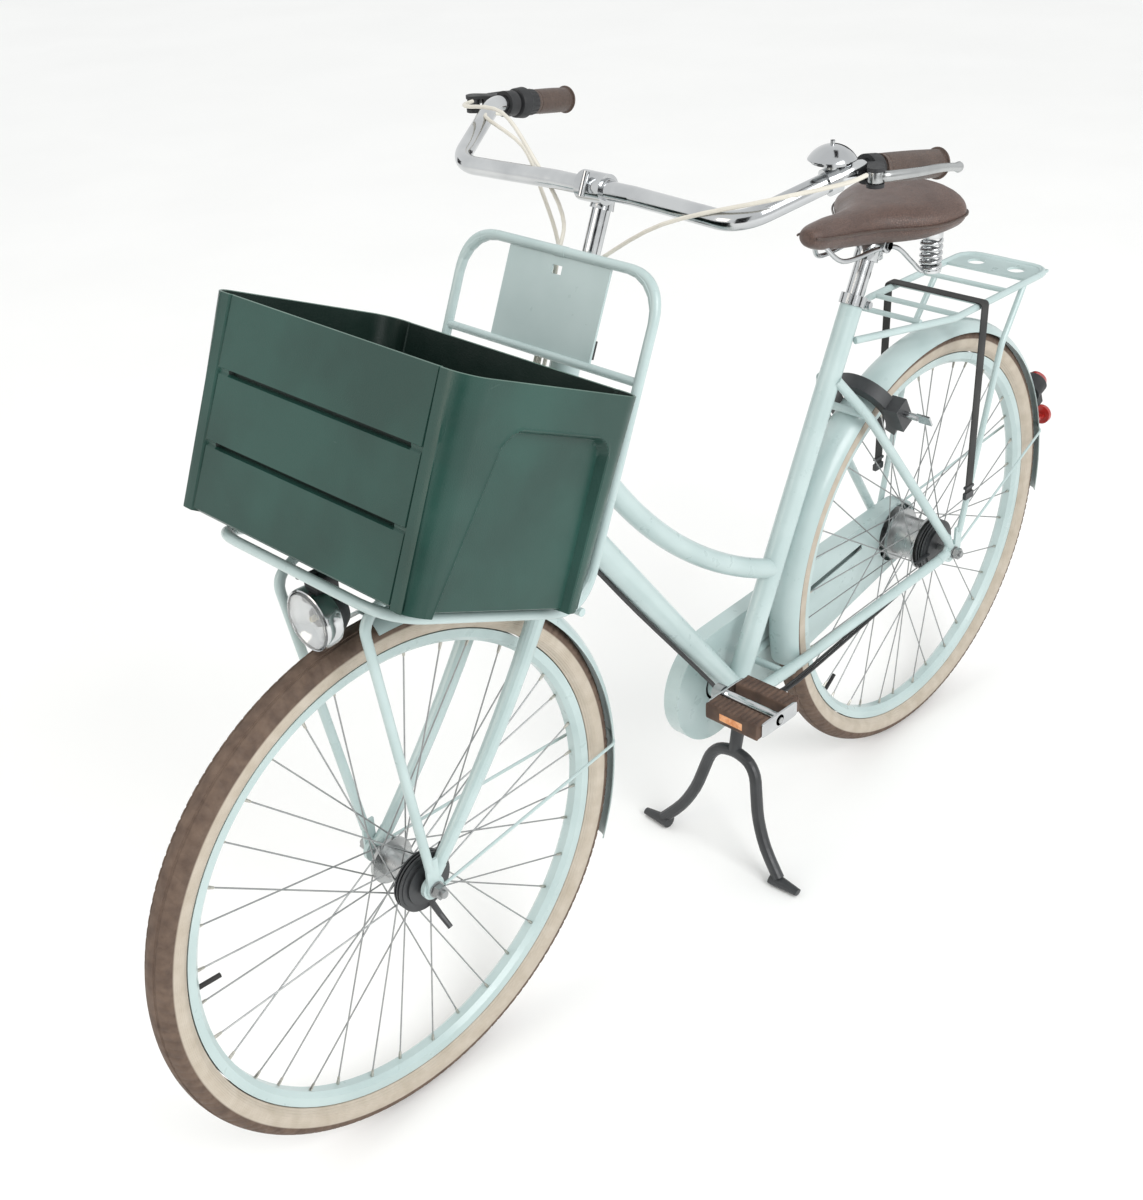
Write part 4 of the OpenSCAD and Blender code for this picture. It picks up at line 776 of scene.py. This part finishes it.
piece("left_lever_blade", lever_shape(1), "left_lever", "alloy", alloy, "left_brake_lever")
piece("right_lever_blade", lever_shape(-1), "right_lever", "black_plastic", black_plastic, "right_brake_lever")


def shifter_shape():
    """The turning sleeve: a collar, then a tube with 18 finger ribs, as a circle whose radius rises and falls with
    the angle round it."""
    d = np.array([0.5, 0.9, 2, 15, 16.2, 17.6, 18, 19, 32, 33.6, 34.4]) + 70
    r = np.array([14.5, 16.2, 16.6, 16.6, 16.6, 17.5, 19.0, 19.6, 18.4, 17.6, 14.5])
    ribbed = np.array([0, 0, 1, 1, 0.4, 0, 0, 0, 0, 0, 0])
    ribs = 18
    a = np.linspace(0, 2 * np.pi, 12 * ribs, endpoint=False)
    wave = 0.45 * np.clip(1.6 * np.cos(ribs * a), -1, 1) - 0.45
    radius = (r[:, None] + ribbed[:, None] * wave[None]) / 1000
    way = left_right(grip_way, -1)
    side = np.cross(way, [0, 0, 1.0])
    side = side / np.linalg.norm(side)
    up = np.cross(way, side)
    centres = np.array([on_bar(-1, q) for q in d])
    round_way = np.cos(a)[None, :, None] * side + np.sin(a)[None, :, None] * up
    return closed(centres[:, None] + radius[..., None] * round_way)


piece("shifter_sleeve", shifter_shape(), "shifter", "black_plastic", black_plastic, "twist_shifter")


# ---- Front carrier's tubes ----
def carrier_shape():
    """The carrier's loop as one tube bent through its eight corners, the two struts that become its rails, and the
    three cross rods."""
    half = [steer(340, 155, 384), steer(50, 155, 384), steer(50, 155, 764), steer(50, 4, 764)]
    loop = tube(bent(half[::-1] + [left_right(p, -1) for p in half], 52, 14), 0.006, 24)
    shapes = [loop, rod(steer(50, -9, 764), steer(50, 9, 764), 0.0064)]
    for sign in (-1, 1):
        strut = [front_axle + mm(6, sign * 60.5, 34), steer(302, sign * 75, 352), steer(272, sign * 75, 384),
                 steer(20, sign * 75, 384)]
        shapes.append(tube(bent(strut, 26, 12), 0.006, 24))
    for t, s in ((50, 384), (190, 384), (50, 648)):
        shapes.append(rod(steer(t, -154, s), steer(t, 154, s), 0.005))
    return joined(*shapes)


piece("front_carrier_tubes", carrier_shape(), "steering", "mint_enamel", mint_enamel)


# ---- Headlamp ----
lamp = bike(62, 0, 748)
reflector_chrome = finish("aluminium_vapour_coated", "#d9dbdc", "#e6e7e8", 30, (0.04, 0.1), 30, 0.02, Metallic=1.0)


def lamp_profile(pairs, sides=72, closed_profile=False):
    """(radius, ahead) pairs in millimetres turned round the lamp's own axis, which points forward."""
    return turned([(r / 1000, h / 1000) for r, h in pairs], lamp, (1, 0, 0), sides, closed_profile)


piece("headlamp_shell", joined(
    lamp_profile([(4, -25.5), (14, -24.5), (20, -21), (26, -12), (31.5, -1), (34, 2), (34.6, 4), (32, 5), (29, 4)]),
    rod(bike(64, 0, 794), steer(336, 0, 380), 0.005)), "steering", "black_plastic", black_plastic, "headlamp")
piece("headlamp_ring", lamp_profile([(34.2, 1), (35.6, 0.5), (36.7, 2.5), (37, 8), (36.9, 18), (36.2, 21), (35, 22),
                                     (34.1, 21.4), (34.1, 12)], 96, True), "steering", "chrome_plate", chrome_plate)
bowl = [(r, 2.5 + 12 * (r / 33) ** 2) for r in (4, 9, 14, 19, 24, 29, 33)]
bowl_back = [(r + 0.6, h - 1.0) for r, h in bowl[::-1]]
piece("headlamp_reflector", lamp_profile(bowl + bowl_back, closed_profile=True), "steering", "chrome_plate",
      reflector_chrome)
piece("headlamp_lamp", lamp_profile([(1.5, 12), (3, 11), (3.6, 8), (3.4, 4), (3.2, 1), (1.5, 0.5)]), "steering",
      "clear_lens", finish("led_cap_pale_yellow", "#efe2ad", "#f6ecc4", 4, (0.2, 0.3), 1, 0.02))


def housing_shape():
    """The switch housing on the lamp: a rounded block as rings of a squared-off circle, drawn in at both ends."""
    rise = np.array([19, 20, 26, 40, 47, 49.4, 50]) / 1000
    tight = np.array([0.86, 0.97, 1, 1, 0.97, 0.86, 0.6])
    a = np.linspace(0, 2 * np.pi, 64, endpoint=False)
    x, y = squared(a, 0.35)
    rings = np.stack([tight[:, None] * x * 0.015 - 0.003, tight[:, None] * y * 0.014, rise[:, None] + 0 * a], -1)
    return closed(lamp + rings)


piece("headlamp_switch", housing_shape(), "steering", "black_plastic", black_plastic)


# ---- Saddle's seam, springs and rails ----
def saddle_edge(rows, out):
    """The line round the saddle's cover at the height where its top meets its skirt, out millimetres proud of it."""
    k = np.linspace(0.03, 0.985, rows)
    nose, tail = saddle_ends(k)
    w = saddle_half(k) * (0.25 + 0.75 * nose) * (0.35 + 0.65 * tail) * 0.985 + out
    z = 10 * k ** 2 - 8 * np.sin(np.pi * k) - (34 + 38 * k) / 2
    left = saddle_nose + np.stack([-SADDLE_LONG * k, w, z], -1) / 1000
    right = left[::-1] * [1, -1, 1]
    return np.concatenate([left, right])


piece("saddle_piping", tube(curve(saddle_edge(40, -1.0), 3), 0.0016, 10), "seat_post", "saddle_leather",
      leather_made("vinyl_piping_brown", "#46352b", "#57443a", "#352720", 1.5, (0.3, 0.45)))


def saddle_frame_shape():
    """Two bent wires from the nose to the springs, a coil of five turns under each side between two cups, and the
    clamp on the post."""
    shapes = []
    for sign in (-1, 1):
        foot = saddle_nose + mm(-240, 50 * sign, -112)
        wire = [saddle_nose + mm(*q) for q in ((-34, 8 * sign, -34), (-66, 20 * sign, -63), (-140, 24 * sign, -65),
                                               (-184, 27 * sign, -72), (-212, 36 * sign, -98))]
        shapes.append(tube(curve(wire + [foot + mm(14, -6 * sign, -2), foot + mm(0, 0, -2)], 10), 0.0035, 20))
        shapes.append(rod(foot - mm(0, 0, 5), foot + mm(0, 0, 1), 0.016, 40))
        a = np.linspace(0, 10 * np.pi, 240)
        coil = foot + np.stack([14 * np.cos(a), 14 * np.sin(a), 1 + 46 * a / a[-1]], -1) / 1000
        shapes.append(tube(coil, 0.0028, 14))
        shapes.append(rod(foot + mm(0, 0, 46), foot + mm(0, 0, 58), 0.016, 40))
        for side in (-1, 1):
            shapes.append(rod(seat(682, side * 30), seat(682, side * 33.5), 0.0075, 6, 0.0008))
    shapes += [rod(seat(656), seat(689), 0.018, 40), rod(seat(682, -30), seat(682, 30), 0.011, 32)]
    return joined(*shapes)


piece("saddle_wires", saddle_frame_shape(), "seat_post", "chrome_plate", chrome_plate, "saddle_frame")


# ---- Pedals ----
def block(low, high, soft):
    """A block between two corners whose edges are rounded by soft metres: rings of a squared circle along Y."""
    low, high = np.asarray(low, float), np.asarray(high, float)
    c, half = (low + high) / 2, (high - low) / 2
    a = np.linspace(0, 2 * np.pi, 32, endpoint=False) + np.pi / 32
    x, z = squared(a, 0.22)
    y = np.array([-1, -1, 1, 1]) * half[1] + np.array([0, soft, -soft, 0])
    pull = np.array([soft, 0, 0, soft])
    wide, tall = (half[0] - pull)[:, None] * x, (half[2] - pull)[:, None] * z
    return closed(np.stack([c[0] + wide, c[1] + y[:, None] + 0 * a, c[2] + tall], -1))


def tread_block(low, high):
    """A rubber tread block: a rounded bar with 11 raised ribs across its top and bottom, as a section whose height
    rises and falls along the block."""
    low, high = np.asarray(low, float), np.asarray(high, float)
    c, half = (low + high) / 2, (high - low) / 2
    y = np.linspace(-1, 1, 133)
    rib = np.clip(1.6 * np.cos(np.pi * 11 * y), -1, 1) * 0.5 - 0.5
    end = np.sqrt(np.clip(1 - np.maximum(0, (np.abs(y) - 0.965) / 0.036) ** 2, 0, 1))
    a = np.linspace(0, 2 * np.pi, 36, endpoint=False) + np.pi / 36
    x, z = squared(a, 0.3)
    flat = (np.abs(z) > 0.97) & (np.abs(x) < 0.93)
    tall = half[2] * (0.88 + 0.12 * end[:, None]) + 0.0016 * rib[:, None] * flat[None]
    wide = half[0] * (0.88 + 0.12 * end[:, None])
    return closed(np.stack([c[0] + wide * x, c[1] + half[1] * y[:, None] + 0 * a, c[2] + tall * z], -1))


for body in ("left_pedal", "right_pedal"):
    low, high = (np.array(v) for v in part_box(body))
    c = (low + high) / 2
    y0, y1 = low[1] + 0.003, high[1] - 0.003
    rubber = [tread_block((c[0] + x, y0, c[2] - 0.013), (c[0] + x + 0.030, y1, c[2] + 0.013)) for x in (-0.047, 0.017)]
    piece(body + "_blocks", joined(*rubber), body, "pedal_rubber", pedal_rubber, body)
    cage = [rod((c[0], y0 - 0.003, c[2]), (c[0], y1 + 0.003, c[2]), 0.0088, 32)]
    for y in (low[1], y1):
        cage.append(block((c[0] - 0.038, y, c[2] - 0.0115), (c[0] + 0.038, y + 0.003, c[2] + 0.0115), 0.0006))
        for x in (-0.0305, 0.0305):
            start, end = (y - 0.0002, y + 0.003) if y < c[1] else (c[1], y + 0.0032)
            cage.append(rod((c[0] + x, start, c[2]), (c[0] + x, end, c[2]), 0.003, 20))
    piece(body + "_cage", joined(*cage), body, "zinc_steel", chrome_plate)
    half = mm(1.2, 20, 7)
    amber = [block(c + mm(x, 0, 0) - half, c + mm(x, 0, 0) + half, 0.0006) for x in (-45.8, 45.8)]
    piece(body + "_reflectors", joined(*amber), body, "red_lens", amber_lens)


# ---- Spoke nipples ----
def nipples(axle, flange_r, flange_y, phase):
    """36 short nipples where the spokes meet the rim: each an eight-sided taper that points along its own spoke."""
    shapes = []
    for k in range(36):
        rim_a, lead, sign = np.radians(phase + 10 * k), 1 if (k // 2) % 2 == 0 else -1, 1 if k % 2 == 0 else -1
        hub_a = rim_a + np.radians(55) * lead
        at_rim = axle + np.array([0.299 * np.cos(rim_a), 0.003 * sign, 0.299 * np.sin(rim_a)])
        at_hub = axle + mm(flange_r * np.cos(hub_a), sign * (flange_y + 1.6 * lead), flange_r * np.sin(hub_a))
        way = (at_hub - at_rim) / np.linalg.norm(at_hub - at_rim)
        shapes.append(turned([(0.0022, -0.001), (0.0021, 0.003), (0.0017, 0.009), (0.0013, 0.0105)], at_rim, way, 8))
    return joined(*shapes)


nickel_brass = finish("brass_nickel_plated", "#a9a79f", "#c2c0b8", 3, (0.25, 0.4), 1, 0.02, Metallic=1.0)
piece("front_nipples", nipples(front_axle, 29, 22, 8), "front_wheel", "zinc_steel", nickel_brass)
piece("rear_nipples", nipples(rear_axle, 42, 25, 5), "rear_wheel", "zinc_steel", nickel_brass)


# ---- Luggage strap ----
def strap_shape():
    """A flat strap bent up one side of the rear carrier, over its top and down the other, 20 mm wide and 2.8 thick."""
    low, high = (np.array(v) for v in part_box("luggage_strap"))
    x, y, z = (low[0] + high[0]) / 2, high[1] - 0.0036, high[2] - 0.0016
    corners = [np.array([x, sign * y, q]) for sign, q in ((1, low[2] + 0.004), (1, z), (-1, z), (-1, low[2] + 0.004))]
    return ribbon(bent(corners, 7, 12), (1, 0, 0), 0.0196, 0.0028)


def strap_ends_shape():
    """At each end of the strap a block folded round it, and a narrow buckle 18 mm above."""
    low, high = (np.array(v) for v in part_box("luggage_strap"))
    ends = []
    for sign in (-1, 1):
        c = np.array([(low[0] + high[0]) / 2, sign * (high[1] - 0.0036), low[2]])
        ends.append(block(c + mm(-11.5, -3.2, 1), c + mm(11.5, 3.2, 13), 0.0006))
        ends.append(block(c + mm(-11.5, -3.2, 19), c + mm(11.5, 3.2, 24), 0.0006))
    return joined(*ends)


piece("strap_band", strap_shape(), "frame", "strap_rubber", strap_rubber, "luggage_strap")
piece("strap_ends", strap_ends_shape(), "frame", "zinc_steel", black_paint)


# ---- Camera, floor and light ----
def camera_made():
    """The camera's place and turn: forward from its heading and pitch, then rolled a little to one side."""
    yaw, pitch, roll = np.radians([225.635, -30.077, -2.99])
    forward = np.array([np.cos(pitch) * np.cos(yaw), np.cos(pitch) * np.sin(yaw), np.sin(pitch)])
    right = np.cross(forward, [0, 0, 1])
    right = right / np.linalg.norm(right)
    up = np.cross(right, forward)
    right, up = np.cos(roll) * right + np.sin(roll) * up, -np.sin(roll) * right + np.cos(roll) * up
    data = bpy.data.cameras.new("camera")
    data.lens, data.sensor_width = 46.71, 36.0
    data.clip_end = 60
    made = bpy.data.objects.new("camera", data)
    scene.collection.objects.link(made)
    turn = Matrix(np.stack([right, up, -forward], 1).tolist()).to_4x4()
    made.matrix_world = Matrix.Translation((1.466, 1.227, 1.591)) @ turn
    return made


scene.camera = camera_made()


def studio_floor():
    """A pale round floor 16 metres across its radius: rings round the middle, closed by a fan."""
    reach = np.array([0.5, 1, 2, 4, 8, 16])
    b = np.linspace(0, 2 * np.pi, 96, endpoint=False)
    rings = np.stack([reach[:, None] * np.cos(b), reach[:, None] * np.sin(b), np.full((6, 96), -0.0006)], -1)
    mesh = bpy.data.meshes.new("studio_floor")
    mesh.from_pydata(rings.reshape(-1, 3).tolist() + [[0, 0, -0.0006]], [],
                     quads(6, 96)[:, ::-1].tolist() + [[j, (j + 1) % 96, 576] for j in range(96)])
    made = bpy.data.objects.new("studio_floor", mesh)
    scene.collection.objects.link(made)
    mesh.materials.append(finish("seamless_paper", "#f9f9f8", "#fbfbfa", 600, (0.85, 0.95), 5, 0.01))


studio_floor()


def reflection_card(name, centre, facing, wide, high):
    """A dark card outside the view, which only the bright metal sees, as a studio's black flags are used."""
    facing = np.asarray(facing, float) / np.linalg.norm(facing)
    side = np.cross([0, 0, 1.0], facing)
    side = side / np.linalg.norm(side)
    up = np.cross(facing, side)
    c = np.asarray(centre, float)
    points = [c + sx * side * wide / 2 + sz * up * high / 2 for sx, sz in ((-1, -1), (1, -1), (1, 1), (-1, 1))]
    mesh = bpy.data.meshes.new(name)
    mesh.from_pydata([p.tolist() for p in points], [], [[0, 1, 2, 3]])
    made = bpy.data.objects.new(name, mesh)
    scene.collection.objects.link(made)
    mesh.materials.append(finish(name + "_felt", "#1c1d1f", "#242527", 200, (0.9, 1.0), 5, 0.01))
    made.visible_camera = made.visible_shadow = made.visible_diffuse = False


reflection_card("flag_front", (5.5, 3.5, 1.4), (-1, -0.6, 0), 2.2, 2.6)
reflection_card("flag_left", (-1.5, 6.0, 1.0), (0.1, -1, 0), 1.6, 2.0)
reflection_card("flag_rear", (-5.5, -2.5, 1.6), (1, 0.4, 0), 2.2, 3.0)
reflection_card("flag_right", (1.5, -6.0, 1.2), (0, 1, 0), 2.0, 2.4)
reflection_card("flag_above", (-0.6, 0.8, 5.0), (0.05, 0.05, -1), 0.9, 2.6)
reflection_card("flag_corner", (2.31, 1.2, 1.27), (-0.85, -0.5, -0.1), 1.3, 2.2)


def soft_light(name, where, aim, size, watts, colour):
    """A square soft light at a place, turned to its aim."""
    data = bpy.data.lights.new(name, "AREA")
    data.shape, data.size, data.energy, data.color = "SQUARE", size, watts, paint(colour)[:3]
    made = bpy.data.objects.new(name, data)
    scene.collection.objects.link(made)
    made.location = where
    made.rotation_euler = (Vector(aim) - Vector(where)).to_track_quat("-Z", "Y").to_euler()


soft_light("key_light", (0.6, 3.6, 3.2), (0, 0, 0.5), 2.4, 104, "#ffffff")
soft_light("fill_light", (4.0, -1.2, 2.2), (0.3, 0, 0.7), 1.8, 22, "#fff1e2")
world = bpy.data.worlds.new("studio_world")
scene.world = world
world.use_nodes = True
world.node_tree.nodes["Background"].inputs[0].default_value = paint("#fbfcfc")
world.node_tree.nodes["Background"].inputs[1].default_value = 0.98
scene.view_settings.view_transform = "Standard"

bpy.context.view_layer.update()
